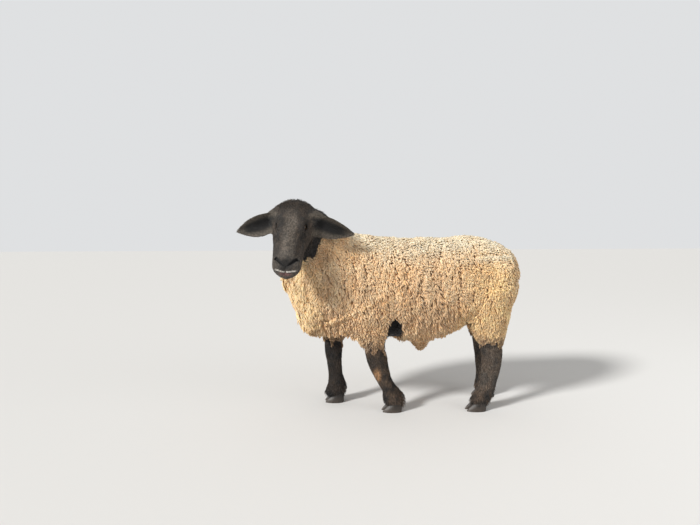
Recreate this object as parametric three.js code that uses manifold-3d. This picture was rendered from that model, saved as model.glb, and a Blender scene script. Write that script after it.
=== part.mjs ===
// A life-size standing sheep of a black-faced Down breed, head turned to its left, in millimetres.
// +Z is up, the sheep faces -X, and its left side is towards -Y. The origin is on the floor under the
// middle of the model's box. Woolled parts are drawn out to the tips of the fleece.
import * as THREE from "three";
import { mergeVertices } from "three/addons/utils/BufferGeometryUtils.js";
import Module from "manifold-3d";

const wasm = await Module();
wasm.setup();

// ---------------------------------------------------------------- driving sizes
const GAP = 0.5; // clearance between neighbouring solids
const EAR_GAP = 3; // clearance of the ears from the wool behind them
const WOOL_END_FORE = 285; // height where the fleece stops on the forelegs
const WOOL_END_HIND = 292; // and on the hind legs
const HOOF_TOP = 38;
const HOOF_HALF_WIDTH = 15;
const CLEFT = 3; // half the gap between the two claws of a foot
const EYE_RADIUS = 14.5;
const EYE = [97, 42, 35]; // centre of the left eye: along the head, to its side, up from its line
const GAZE = [0.36, 0.81, 0.46]; // the way the left eye looks, in the same frame
const LID_OPENING = { ahead: 12, radii: [13, 14, 8] }; // lies ahead of the eye's centre
const HEAD_AT = new THREE.Vector3(-470, -150, 855); // back of the skull
const HEAD_YAW = 81; // degrees that the face is turned to the sheep's left
const HEAD_PITCH = 54; // degrees that the face line drops below level
const HEAD_TILT = -3.5; // degrees that the left ear is carried lower than the right
const EAR_ROOT = [31, 46, 15];
const EAR_LENGTH = 206;
const EAR_DROOP = { left: 25, right: 29 };
const EAR_BACK = 10;
const NECK_CUT = 150; // how far up the line of the neck it is parted from the trunk
const CUT_DETAIL = [14, 10];
const EYE_DETAIL = [12, 9];

// ---------------------------------------------------------------- solids
function solidOf(geometry) {
  const bare = geometry.clone();
  for (const name of Object.keys(bare.attributes)) {
    if (name !== "position") bare.deleteAttribute(name);
  }
  const merged = mergeVertices(bare, 1e-4);
  return new wasm.Manifold(
    new wasm.Mesh({
      numProp: 3,
      vertProperties: merged.attributes.position.array,
      triVerts: new Uint32Array(merged.index.array),
    }),
  );
}

function geometryOf(solid) {
  const mesh = solid.getMesh();
  const geometry = new THREE.BufferGeometry();
  geometry.setAttribute("position", new THREE.BufferAttribute(mesh.vertProperties, 3));
  geometry.setIndex(new THREE.BufferAttribute(mesh.triVerts, 1));
  geometry.computeVertexNormals();
  return geometry;
}

// The largest single body of a cut, so that no crumb is left beside it.
function largest(solid) {
  return solid.decompose().reduce((a, b) => (a.volume() > b.volume() ? a : b));
}

// Catmull-Rom interpolation of the rows of a table, whose first column is the place along the axis.
function rowAt(table, place) {
  let i = 0;
  while (i < table.length - 2 && place > table[i + 1][0]) i += 1;
  const p1 = table[i];
  const p2 = table[i + 1];
  const p0 = table[Math.max(i - 1, 0)];
  const p3 = table[Math.min(i + 2, table.length - 1)];
  const span = p2[0] - p1[0];
  const t = (place - p1[0]) / span;
  return p1.map((value, k) => {
    const m1 = ((p2[k] - p0[k]) / (p2[0] - p0[0] || 1)) * span;
    const m2 = ((p3[k] - p1[k]) / (p3[0] - p1[0] || 1)) * span;
    const t2 = t * t;
    const t3 = t2 * t;
    return (2 * t3 - 3 * t2 + 1) * value + (t3 - 2 * t2 + t) * m1
      + (3 * t2 - 2 * t3) * p2[k] + (t3 - t2) * m2;
  });
}

// A closed skin over rings of points. Each end is a fan round the middle of its ring.
function closedRings(rings) {
  const sides = rings[0].length;
  const middle = (ring) => ring.reduce((sum, p) => sum.clone().add(p), new THREE.Vector3())
    .divideScalar(sides);
  const points = [...rings.flat(), middle(rings[0]), middle(rings.at(-1))];
  const first = rings.length * sides;
  const faces = [];
  for (let j = 0; j < sides; j += 1) {
    const k = (j + 1) % sides;
    faces.push(first, k, j, first + 1, first - sides + j, first - sides + k);
    for (let i = 0; i < rings.length - 1; i += 1) {
      const a = i * sides + j;
      const b = i * sides + k;
      faces.push(a, b, b + sides, a, b + sides, a + sides);
    }
  }
  const geometry = new THREE.BufferGeometry().setFromPoints(points);
  geometry.setIndex(faces);
  return geometry;
}

// A body part as sections across a straight axis. A row of its table is
// [place, centre along side, centre along up, half-width, reach up, reach down].
// Each section is an egg of power `power`; `taper` narrows its lower half.
function sections(part, grow = 0) {
  const { table, origin, axis, side, up, steps, sides, power = 2, taper = 0 } = part;
  const from = table[0][0];
  const to = table.at(-1)[0];
  const rings = [];
  for (let i = 0; i <= steps; i += 1) {
    const share = part.roundEnds ? (1 - Math.cos((Math.PI * i) / steps)) / 2 : i / steps;
    const [place, a, b, half, above, below] = rowAt(table, from + (to - from) * share);
    const end = i === 0 ? -grow : i === steps ? grow : 0;
    const ring = [];
    for (let j = 0; j < sides; j += 1) {
      const turn = (2 * Math.PI * j) / sides;
      const c = Math.cos(turn);
      const s = Math.sin(turn);
      const x = Math.sign(c) * Math.abs(c) ** (2 / power);
      const y = Math.sign(s) * Math.abs(s) ** (2 / power);
      const narrow = 1 - taper * Math.max(0, -y);
      ring.push(
        origin.clone()
          .addScaledVector(axis, place + end)
          .addScaledVector(side, a + (half + grow) * x * narrow)
          .addScaledVector(up, b + ((s > 0 ? above : below) + grow) * y),
      );
    }
    rings.push(ring);
  }
  const solid = solidOf(closedRings(rings));
  return solid.volume() > 0 ? solid : solidOf(closedRings(rings.reverse()));
}

const X = new THREE.Vector3(1, 0, 0);
const Y = new THREE.Vector3(0, 1, 0);
const Z = new THREE.Vector3(0, 0, 1);
const ORIGIN = new THREE.Vector3();

function ball(centre, radii, detail = [10, 8]) {
  const shape = new THREE.SphereGeometry(1, ...detail);
  shape.rotateX(Math.PI / 2);
  shape.scale(...radii);
  shape.translate(...centre);
  return solidOf(shape);
}

// ---------------------------------------------------------------- trunk
// [x, 0, height of the widest level, half-width, reach up, reach down]
const trunk = {
  origin: ORIGIN, axis: X, side: Y, up: Z, steps: 17, sides: 18, power: 2.15, roundEnds: true,
  table: [
    [-526, 0, 592, 8, 8, 8],
    [-520, 0, 591, 46, 38, 35],
    [-505, 0, 585, 78, 84, 56],
    [-486, 0, 575, 98, 120, 93],
    [-470, 0, 564, 113, 147, 124],
    [-440, 0, 547, 132, 184, 191],
    [-400, 0, 532, 150, 206, 203],
    [-350, 0, 525, 166, 222, 211],
    [-280, 0, 520, 178, 236, 222],
    [-200, 0, 515, 188, 252, 219],
    [-100, 0, 513, 196, 243, 217],
    [0, 0, 513, 203, 237, 219],
    [60, 0, 516, 205, 234, 224],
    [100, 0, 520, 206, 230, 229],
    [150, 0, 525, 206, 226, 220],
    [200, 0, 530, 206, 222, 204],
    [280, 0, 545, 202, 214, 176],
    [340, 0, 550, 196, 200, 150],
    [400, 0, 552, 180, 183, 130],
    [430, 0, 553, 162, 168, 124],
    [452, 0, 556, 138, 152, 116],
    [472, 0, 560, 103, 128, 103],
    [486, 0, 566, 66, 96, 80],
    [494, 0, 574, 34, 60, 52],
    [497, 0, 578, 8, 12, 12],
  ],
};
// the tuft that hangs from the middle of the belly
const bellyTuft = {
  origin: ORIGIN, axis: Z, side: Y, up: X, steps: 6, sides: 12, roundEnds: true,
  table: [
    [246, 0, 78, 4, 5, 5], [254, 0, 78, 16, 22, 20], [275, 0, 76, 28, 38, 36], [320, 0, 70, 40, 50, 60],
  ],
};
const tail = {
  origin: ORIGIN, axis: Z, side: Y, up: X, steps: 8, sides: 12, roundEnds: true,
  table: [
    [528, 0, 494, 4, 4, 4],
    [536, 0, 494, 22, 15, 20],
    [570, 0, 493, 31, 19, 30],
    [620, 0, 485, 34, 20, 34],
    [665, 0, 464, 32, 20, 30],
    [690, 0, 446, 8, 8, 8],
  ],
};

// ---------------------------------------------------------------- neck
const neckFrom = new THREE.Vector3(-270, 0, 580);
const neckTo = new THREE.Vector3(-440, -125, 838);
const neckAxis = neckTo.clone().sub(neckFrom).normalize();
const neckSide = Z.clone().cross(neckAxis).normalize(); // the sheep's left
const neck = {
  origin: neckFrom, axis: neckAxis, side: neckSide, up: neckAxis.clone().cross(neckSide),
  steps: 9, sides: 16, power: 2.1, roundEnds: true,
  table: [
    [-95, 0, -10, 20, 20, 30],
    [-70, 0, -10, 110, 90, 150],
    [0, 0, 0, 150, 146, 205],
    [80, 0, 0, 138, 132, 190],
    [160, 0, 0, 121, 112, 160],
    [240, 0, 0, 103, 92, 132],
    [300, 0, 0, 92, 76, 112],
    [340, 0, 0, 72, 56, 88],
    [356, 0, 0, 20, 16, 24],
  ],
};

// ---------------------------------------------------------------- legs
// [height, y, x, half-width, reach to the back, reach to the front]
const UPPER_LEGS = {
  fore_left: [
    [WOOL_END_FORE, -85, -143, 45, 54, 54],
    [310, -93, -149, 50, 60, 62],
    [340, -102, -155, 56, 70, 74],
    [380, -112, -165, 62, 82, 88],
    [440, -120, -178, 66, 95, 98],
    [500, -122, -190, 60, 98, 94],
    [545, -118, -200, 40, 60, 60],
    [560, -114, -200, 10, 10, 10],
  ],
  fore_right: [
    [WOOL_END_FORE, 92, -303, 42, 46, 49],
    [310, 96, -292, 48, 56, 58],
    [340, 102, -280, 54, 68, 68],
    [380, 110, -262, 60, 80, 80],
    [440, 118, -245, 64, 92, 92],
    [500, 120, -235, 60, 94, 90],
    [545, 116, -228, 40, 60, 60],
    [560, 112, -225, 10, 10, 10],
  ],
  hind_left: [
    [WOOL_END_HIND, -103, 361, 42, 58, 54],
    [312, -106, 360, 50, 62, 66],
    [345, -110, 356, 60, 70, 82],
    [385, -115, 350, 70, 83, 97],
    [425, -118, 345, 78, 95, 106],
    [470, -120, 342, 84, 104, 112],
    [530, -118, 345, 87, 110, 115],
    [600, -112, 345, 80, 108, 105],
    [650, -104, 340, 50, 66, 70],
    [668, -100, 338, 10, 10, 10],
  ],
  hind_right: [
    [WOOL_END_HIND, 103, 394, 42, 56, 58],
    [312, 106, 393, 50, 64, 62],
    [345, 110, 391, 60, 72, 68],
    [385, 115, 388, 70, 84, 88],
    [425, 118, 384, 78, 92, 108],
    [470, 120, 378, 84, 98, 122],
    [530, 118, 372, 87, 100, 126],
    [600, 112, 362, 80, 104, 112],
    [650, 104, 350, 50, 66, 72],
    [668, 100, 345, 10, 10, 10],
  ],
};
const LOWER_LEGS = {
  fore_left: [
    [28, -68, -50, 26, 34, 34],
    [45, -68, -54, 33, 46, 44],
    [65, -68, -60, 33, 48, 42],
    [92, -69, -71, 30, 42, 34],
    [120, -70, -88, 26, 37, 32],
    [150, -71, -103, 26, 37, 34],
    [190, -73, -118, 29, 42, 40],
    [220, -75, -126, 34, 44, 44],
    [250, -78, -132, 36, 45, 46],
    [WOOL_END_FORE - GAP, -82, -141, 36, 42, 44],
  ],
  fore_right: [
    [28, 84, -296, 26, 33, 36],
    [45, 84, -296, 32, 44, 46],
    [65, 84, -294, 32, 46, 42],
    [92, 84, -292, 29, 41, 36],
    [120, 85, -294, 25, 34, 32],
    [150, 85, -297, 25, 33, 31],
    [190, 86, -300, 28, 34, 34],
    [220, 87, -302, 33, 38, 38],
    [250, 88, -303, 35, 40, 40],
    [WOOL_END_FORE - GAP, 90, -304, 34, 38, 40],
  ],
  hind_left: [
    [28, -96, 318, 26, 34, 34],
    [45, -96, 322, 32, 42, 44],
    [65, -96, 330, 32, 44, 42],
    [92, -97, 342, 28, 42, 36],
    [120, -98, 352, 25, 40, 34],
    [160, -99, 360, 25, 44, 36],
    [200, -100, 364, 28, 48, 38],
    [235, -101, 365, 32, 50, 40],
    [265, -102, 364, 33, 51, 43],
    [WOOL_END_HIND - GAP, -103, 363, 34, 49, 46],
  ],
  hind_right: [
    [28, 96, 408, 26, 34, 34],
    [45, 96, 408, 32, 42, 44],
    [65, 96, 408, 32, 44, 42],
    [92, 97, 407, 28, 41, 36],
    [120, 98, 406, 25, 38, 34],
    [160, 99, 404, 25, 41, 36],
    [200, 100, 402, 28, 45, 38],
    [235, 101, 400, 32, 47, 41],
    [265, 102, 398, 33, 49, 44],
    [WOOL_END_HIND - GAP, 103, 395, 34, 47, 46],
  ],
};
// Egg-shaped cutters that part each upper leg from the trunk.
const LEG_CUT = {
  fore_left: { at: [-172, -165, 350], radii: [120, 140, 150] },
  fore_right: { at: [-262, 165, 350], radii: [112, 140, 150] },
  hind_left: { at: [350, -165, 400], radii: [150, 140, 210] },
  hind_right: { at: [380, 165, 400], radii: [150, 140, 210] },
};

const leg = (table) => ({ origin: ORIGIN, axis: Z, side: Y, up: X, sides: 10, steps: 8, table });

// One claw: a wedge with a sloping toe wall, flat on the floor. Rows as for a leg, about its own middle.
const claw = {
  origin: ORIGIN, axis: Z, side: Y, up: X, steps: 3, sides: 10, power: 2.3,
  table: [
    [0, 0, 0, HOOF_HALF_WIDTH, 36, 47],
    [12, 0, 2, HOOF_HALF_WIDTH, 35, 42],
    [26, 0, 6, HOOF_HALF_WIDTH - 2, 31, 32],
    [HOOF_TOP, 0, 10, HOOF_HALF_WIDTH - 5, 22, 22],
  ],
};
// x and y of the middle of each foot on the floor
const FEET = {
  fore_left: [-58, -68],
  fore_right: [-295, 84],
  hind_left: [306, -96],
  hind_right: [400, 96],
};
const DEW = { sunk: 3, side: 14, height: 68, radii: [9, 7, 11], detail: [7, 5] };

// ---------------------------------------------------------------- head, in its own frame
// +X runs along the face from the back of the skull to the lips, +Y to the sheep's left and +Z out
// of the brow.
const head = {
  origin: ORIGIN, axis: X, side: Y, up: Z, steps: 13, sides: 14, power: 2.1, taper: 0.15, roundEnds: true,
  table: [
    [-42, 0, 0, 8, 8, 8],
    [-34, 0, 0, 50, 36, 44],
    [-8, 0, 0, 72, 52, 66],
    [25, 0, 0, 81, 59, 78],
    [60, 0, 0, 81, 62, 85],
    [97, 0, 0, 76, 61, 84],
    [130, 0, 0, 71, 59, 77],
    [165, 0, 0, 67, 55, 66],
    [200, 0, 0, 63, 49, 57],
    [235, 0, -1, 58, 41, 50],
    [262, 0, -4, 53, 31, 44],
    [281, 0, -8, 44, 20, 33],
    [293, 0, -11, 26, 10, 18],
    [297, 0, -12, 6, 3, 4],
  ],
};
const ORBIT = { at: [98, 41, 38], radii: [27, 19, 20] };
const EAR_BASE = { at: [20, 0, -2], radii: [66, 36, 30] }; // in the ear's frame
const NOSTRIL = { at: [283, 17, 6], radii: [13, 6, 5] };
// Mouth line: [along, up] from the lips back to the jaw's hinge
const JAW_FROM = [300, -22];
const JAW_TO = [55, -52];

// An ear as a cupped leaf along +X, hollow side to +Z, thin towards its edges.
const EAR = { widest: 48, cup: 0.45, thick: 4.5 };
function earSolid(grow = 0) {
  const steps = 11;
  const around = 12;
  const rings = [];
  for (let i = 0; i <= steps; i += 1) {
    const t = i / steps;
    const half = EAR.widest * (0.42 + 0.58 * Math.max(Math.sin(Math.PI * t), 0) ** 0.9)
      * Math.sqrt(Math.max(1 - t ** 3, 0.004)) + grow;
    const bend = 14 * Math.sin(Math.PI * t) - 10 * t * t;
    const ring = [];
    for (let j = 0; j < around; j += 1) {
      const turn = (2 * Math.PI * j) / around;
      const v = Math.cos(turn);
      const fold = EAR.cup * half * v * v;
      const wall = (EAR.thick * (1 - 0.4 * t) + grow) * Math.sin(turn);
      ring.push(new THREE.Vector3(t * (EAR_LENGTH + 2 * grow) - grow, half * v, bend + fold + wall));
    }
    rings.push(ring);
  }
  const solid = solidOf(closedRings(rings));
  return solid.volume() > 0 ? solid : solidOf(closedRings(rings.reverse()));
}

const earMatrix = (sideways) => {
  const droop = THREE.MathUtils.degToRad(sideways > 0 ? EAR_DROOP.left : EAR_DROOP.right);
  const back = THREE.MathUtils.degToRad(EAR_BACK);
  const world = new THREE.Matrix4().makeRotationFromQuaternion(headGroup.quaternion).invert();
  const down = Z.clone().negate().transformDirection(world);
  const ahead = level.clone().transformDirection(world);
  const out = Y.clone().multiplyScalar(sideways);
  const rear = X.clone().negate();
  const along = out.multiplyScalar(Math.cos(droop) * Math.cos(back))
    .addScaledVector(rear, Math.sin(back) * Math.cos(droop))
    .addScaledVector(down, Math.sin(droop)).normalize();
  const open = down.clone().multiplyScalar(0.35).addScaledVector(ahead, 0.9);
  const hollow = open.addScaledVector(along, -open.dot(along)).normalize();
  const edge = hollow.clone().cross(along);
  const [rootAhead, aside, up] = EAR_ROOT;
  return new THREE.Matrix4().makeBasis(along, edge, hollow).setPosition(rootAhead, aside * sideways, up);
};

// ---------------------------------------------------------------- assembly
const sheep = new THREE.Group();
const body = new THREE.Group();
const headGroup = new THREE.Group();
sheep.add(body);
body.add(headGroup);

const face = THREE.MathUtils.degToRad(HEAD_YAW);
const drop = THREE.MathUtils.degToRad(HEAD_PITCH);
const level = new THREE.Vector3(-Math.cos(face), -Math.sin(face), 0);
const faceAxis = level.clone().multiplyScalar(Math.cos(drop)).addScaledVector(Z, -Math.sin(drop));
const faceSide = Z.clone().cross(level);
const faceUp = faceAxis.clone().cross(faceSide);
headGroup.quaternion.setFromRotationMatrix(new THREE.Matrix4().makeBasis(faceAxis, faceSide, faceUp));
headGroup.rotateOnWorldAxis(level, THREE.MathUtils.degToRad(HEAD_TILT));
headGroup.position.copy(HEAD_AT);
headGroup.updateMatrixWorld(true);

const finish = (colour, roughness) =>
  new THREE.MeshStandardMaterial({ color: colour, roughness, metalness: 0 });
const FLEECE = finish(0xd9b98a, 0.95);
const BLACK_HAIR = finish(0x2a2622, 0.8);
const HORN = finish(0x2b2622, 0.6);
const EYEBALL = finish(0x3a2412, 0.15);

function addNode(name, solid, material, parent = body) {
  const mesh = new THREE.Mesh(geometryOf(solid), material);
  mesh.name = name;
  parent.add(mesh);
}

const inBody = (solid) => solid.transform(headGroup.matrix.elements);

// Head, jaw, ears and eyes
const SIDES = { left: 1, right: -1 };
const mirrored = ([x, y, z], sideways) => [x, y * sideways, z];
const wholeHead = (grow) => {
  let solid = sections(head, grow);
  for (const sideways of Object.values(SIDES)) {
    const earBase = ball(EAR_BASE.at, EAR_BASE.radii.map((r) => r + grow));
    solid = solid.add(ball(mirrored(ORBIT.at, sideways), ORBIT.radii.map((r) => r + grow)))
      .add(earBase.transform(earMatrix(sideways).elements));
  }
  return solid;
};
let skull = wholeHead(0);
for (const [sideName, sideways] of Object.entries(SIDES)) {
  const eyeBall = (radius) => ball(mirrored(EYE, sideways), [radius, radius, radius], EYE_DETAIL);
  addNode(`eye_${sideName}`, eyeBall(EYE_RADIUS), EYEBALL, headGroup);
  skull = skull.subtract(eyeBall(EYE_RADIUS + 1.5 * GAP));
  const opening = GAZE.map((share, i) => EYE[i] + LID_OPENING.ahead * share);
  skull = skull.subtract(ball(mirrored(opening, sideways), LID_OPENING.radii));
  skull = skull.subtract(ball(mirrored(NOSTRIL.at, sideways), NOSTRIL.radii));
  const ear = earSolid().transform(earMatrix(sideways).elements);
  addNode(`ear_${sideName}`, largest(ear.subtract(wholeHead(GAP))), BLACK_HAIR, headGroup);
}

// The lower jaw is what lies under the mouth line.
function jawBlock(grow) {
  const [x1, z1] = JAW_FROM;
  const [x0, z0] = JAW_TO;
  const depth = 120;
  const outline = new THREE.Shape([
    new THREE.Vector2(x0 - grow, z0 + grow),
    new THREE.Vector2(x1 + 20, z1 + grow),
    new THREE.Vector2(x1 + 20, z1 - depth),
    new THREE.Vector2(x0 - grow, z0 - depth),
  ]);
  const block = new THREE.ExtrudeGeometry(outline, { depth: 200, bevelEnabled: false });
  block.rotateX(Math.PI / 2);
  block.translate(0, 100, 0);
  return solidOf(block);
}
addNode("lower_jaw", largest(skull.intersect(jawBlock(0))), BLACK_HAIR, headGroup);
addNode("head", largest(skull.subtract(jawBlock(GAP))), BLACK_HAIR, headGroup);

// The woolled body is one solid, which the cutters below part into neck, trunk and upper legs.
const headSpace = inBody(wholeHead(GAP))
  .add(inBody(earSolid(EAR_GAP).transform(earMatrix(1).elements)))
  .add(inBody(earSolid(EAR_GAP).transform(earMatrix(-1).elements)));
let woolled = sections(trunk).add(sections(bellyTuft)).add(sections(neck));
for (const table of Object.values(UPPER_LEGS)) woolled = woolled.add(sections(leg(table)));
woolled = woolled.subtract(headSpace).subtract(sections(tail, GAP));
addNode("tail", sections(tail), FLEECE);

// A block whose near face crosses the neck squarely at NECK_CUT.
function neckBlock(grow) {
  const size = 900;
  const block = new THREE.BoxGeometry(size, size, size);
  block.applyMatrix4(new THREE.Matrix4().makeBasis(neck.side, neck.up, neckAxis));
  const middle = neckFrom.clone().addScaledVector(neckAxis, NECK_CUT - grow + size / 2);
  block.translate(...middle);
  return solidOf(block);
}

let trunkSolid = woolled.subtract(neckBlock(GAP));
addNode("neck", largest(woolled.intersect(neckBlock(0))), FLEECE);
for (const [name, table] of Object.entries(UPPER_LEGS)) {
  const { at, radii } = LEG_CUT[name];
  const limb = woolled.intersect(ball(at, radii, CUT_DETAIL)).subtract(neckBlock(GAP));
  addNode(`upper_leg_${name}`, largest(limb), FLEECE);
  trunkSolid = trunkSolid.subtract(ball(at, radii.map((r) => r + GAP), CUT_DETAIL));
}
addNode("trunk", largest(trunkSolid), FLEECE);

// Lower legs and feet
for (const [name, table] of Object.entries(LOWER_LEGS)) {
  let lower = sections(leg(table));
  const [x, y] = FEET[name];
  for (const [claws, sideways] of [["inner", -Math.sign(y)], ["outer", Math.sign(y)]]) {
    const at = [x, y + sideways * (HOOF_HALF_WIDTH + CLEFT), 0];
    const hoof = new THREE.Mesh(geometryOf(sections(claw)), HORN);
    hoof.name = `hoof_${name}_${claws}`;
    hoof.position.set(...at);
    body.add(hoof);
    lower = lower.subtract(sections(claw, GAP).translate(at));

    const [, middle, centre, , rear] = rowAt(table, DEW.height);
    const dewAt = [centre + rear - DEW.sunk, middle + sideways * DEW.side, DEW.height];
    addNode(`dewclaw_${name}_${claws}`, ball(dewAt, DEW.radii, DEW.detail), HORN);
    lower = lower.subtract(ball(dewAt, DEW.radii.map((r) => r + GAP), DEW.detail));
  }
  addNode(`lower_leg_${name}`, largest(lower), BLACK_HAIR);
}

// The origin goes on the floor under the middle of the box.
sheep.updateMatrixWorld(true);
const box = new THREE.Box3().setFromObject(sheep, true);
body.position.set(-(box.min.x + box.max.x) / 2, -(box.min.y + box.max.y) / 2, -box.min.z);

export default sheep;
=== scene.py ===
# %% [markdown]
# # A black-faced sheep, standing
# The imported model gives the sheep's solids: trunk, neck, head, ears, tail, legs and claws, drawn
# out to the tips of the fleece. This lesson lays a skin inside them, gives it a face, and grows a
# fleece of curled locks and short dark hair on it. Everything is in metres.

import math

import bpy
import numpy as np
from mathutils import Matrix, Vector


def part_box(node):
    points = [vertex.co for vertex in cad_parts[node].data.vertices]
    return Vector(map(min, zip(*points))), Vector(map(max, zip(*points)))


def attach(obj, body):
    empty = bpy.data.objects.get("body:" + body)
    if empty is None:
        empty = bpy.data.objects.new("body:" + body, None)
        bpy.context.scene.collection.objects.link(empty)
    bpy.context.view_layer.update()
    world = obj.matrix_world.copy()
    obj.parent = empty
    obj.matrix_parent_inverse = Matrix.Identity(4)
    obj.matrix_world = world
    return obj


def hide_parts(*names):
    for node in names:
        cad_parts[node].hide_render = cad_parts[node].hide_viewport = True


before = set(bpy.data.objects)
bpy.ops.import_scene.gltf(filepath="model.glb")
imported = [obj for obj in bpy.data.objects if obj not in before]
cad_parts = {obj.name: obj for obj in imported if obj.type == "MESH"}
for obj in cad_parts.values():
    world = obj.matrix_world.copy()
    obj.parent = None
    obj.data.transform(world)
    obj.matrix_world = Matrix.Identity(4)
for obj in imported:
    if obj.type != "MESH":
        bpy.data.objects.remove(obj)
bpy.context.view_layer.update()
rng = np.random.default_rng(41)
MM = 0.001
X_AXIS, Y_AXIS, Z_AXIS = np.eye(3)

# %% [markdown]
# ## The plan of the body
# A body part is a stack of egg-shaped sections along a straight axis. Each row of a plan is
# [place, centre to the side, centre upward, half-width, reach up, reach down] in millimetres, for
# the outside of the coat. The skin lies under it by the depth of the coat, which is thick on the
# trunk and almost nothing on the shins. The plan stands over the middle of the floor at zero, and
# the left eye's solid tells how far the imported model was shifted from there.

# %% Plans of the woolled parts
TRUNK = [
    [-526, 0, 592, 8, 8, 8], [-520, 0, 591, 46, 38, 35], [-505, 0, 585, 78, 84, 56],
    [-486, 0, 575, 98, 120, 93], [-470, 0, 564, 113, 147, 124], [-440, 0, 547, 132, 184, 191],
    [-400, 0, 532, 150, 206, 203], [-350, 0, 525, 166, 222, 211], [-280, 0, 520, 178, 236, 222],
    [-200, 0, 515, 188, 252, 219], [-100, 0, 513, 196, 243, 217], [0, 0, 513, 203, 237, 219],
    [60, 0, 516, 205, 234, 224], [100, 0, 520, 206, 230, 229], [150, 0, 525, 206, 226, 220],
    [200, 0, 530, 206, 222, 204], [280, 0, 545, 202, 214, 176], [340, 0, 550, 196, 200, 150],
    [400, 0, 552, 180, 183, 130], [430, 0, 553, 162, 168, 124], [452, 0, 556, 138, 152, 116],
    [472, 0, 560, 103, 128, 103], [486, 0, 566, 66, 96, 80], [494, 0, 574, 34, 60, 52],
    [497, 0, 578, 8, 12, 12]]
BELLY_TUFT = [
    [246, 0, 78, 4, 5, 5], [254, 0, 78, 16, 22, 20], [275, 0, 76, 28, 38, 36], [320, 0, 70, 40, 50, 60]]
TAIL = [
    [528, 0, 494, 4, 4, 4], [536, 0, 494, 22, 15, 20], [570, 0, 493, 31, 19, 30],
    [620, 0, 485, 34, 20, 34], [665, 0, 464, 32, 20, 30], [690, 0, 446, 8, 8, 8]]
NECK = [
    [-95, 0, -10, 20, 20, 30], [-70, 0, -10, 110, 90, 150], [0, 0, 0, 150, 146, 205],
    [80, 0, 0, 138, 132, 190], [160, 0, 0, 121, 112, 160], [240, 0, 0, 103, 92, 132],
    [300, 0, 0, 92, 76, 112], [340, 0, 0, 72, 56, 88], [356, 0, 0, 20, 16, 24]]
UPPER_LEGS = {
    "fore_left": [
        [285, -85, -143, 45, 54, 54], [310, -93, -149, 50, 60, 62], [340, -102, -155, 56, 70, 74],
        [380, -112, -165, 62, 82, 88], [440, -120, -178, 66, 95, 98], [500, -122, -190, 60, 98, 94],
        [545, -118, -200, 40, 60, 60], [560, -114, -200, 10, 10, 10]],
    "fore_right": [
        [285, 92, -303, 42, 46, 49], [310, 96, -292, 48, 56, 58], [340, 102, -280, 54, 68, 68],
        [380, 110, -262, 60, 80, 80], [440, 118, -245, 64, 92, 92], [500, 120, -235, 60, 94, 90],
        [545, 116, -228, 40, 60, 60], [560, 112, -225, 10, 10, 10]],
    "hind_left": [
        [292, -103, 361, 42, 58, 54], [312, -106, 360, 50, 62, 66], [345, -110, 356, 60, 70, 82],
        [385, -115, 350, 70, 83, 97], [425, -118, 345, 78, 95, 106], [470, -120, 342, 84, 104, 112],
        [530, -118, 345, 87, 110, 115], [600, -112, 345, 80, 108, 105], [650, -104, 340, 50, 66, 70],
        [668, -100, 338, 10, 10, 10]],
    "hind_right": [
        [292, 103, 394, 42, 56, 58], [312, 106, 393, 50, 64, 62], [345, 110, 391, 60, 72, 68],
        [385, 115, 388, 70, 84, 88], [425, 118, 384, 78, 92, 108], [470, 120, 378, 84, 98, 122],
        [530, 118, 372, 87, 100, 126], [600, 112, 362, 80, 104, 112], [650, 104, 350, 50, 66, 72],
        [668, 100, 345, 10, 10, 10]]}

# %% Plans of the bare legs, the claws and the head
LOWER_LEGS = {
    "fore_left": [
        [28, -68, -50, 26, 34, 34], [45, -68, -54, 33, 46, 44], [65, -68, -60, 33, 48, 42],
        [92, -69, -71, 30, 42, 34], [120, -70, -88, 26, 37, 32], [150, -71, -103, 26, 37, 34],
        [190, -73, -118, 29, 42, 40], [220, -75, -126, 34, 44, 44], [250, -78, -132, 36, 45, 46],
        [285, -82, -141, 36, 42, 44]],
    "fore_right": [
        [28, 84, -296, 26, 33, 36], [45, 84, -296, 32, 44, 46], [65, 84, -294, 32, 46, 42],
        [92, 84, -292, 29, 41, 36], [120, 85, -294, 25, 34, 32], [150, 85, -297, 25, 33, 31],
        [190, 86, -300, 28, 34, 34], [220, 87, -302, 33, 38, 38], [250, 88, -303, 35, 40, 40],
        [285, 90, -304, 34, 38, 40]],
    "hind_left": [
        [28, -96, 318, 26, 34, 34], [45, -96, 322, 32, 42, 44], [65, -96, 330, 32, 44, 42],
        [92, -97, 342, 28, 42, 36], [120, -98, 352, 25, 40, 34], [160, -99, 360, 25, 44, 36],
        [200, -100, 364, 28, 48, 38], [235, -101, 365, 32, 50, 40], [265, -102, 364, 33, 51, 43],
        [292, -103, 363, 34, 49, 46]],
    "hind_right": [
        [28, 96, 408, 26, 34, 34], [45, 96, 408, 32, 42, 44], [65, 96, 408, 32, 44, 42],
        [92, 97, 407, 28, 41, 36], [120, 98, 406, 25, 38, 34], [160, 99, 404, 25, 41, 36],
        [200, 100, 402, 28, 45, 38], [235, 101, 400, 32, 47, 41], [265, 102, 398, 33, 49, 44],
        [292, 103, 395, 34, 47, 46]]}
CLAW = [[0, 0, 0, 15, 36, 47], [12, 0, 2, 15, 35, 42], [26, 0, 6, 13, 31, 32], [38, 0, 10, 10, 22, 22]]
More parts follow.
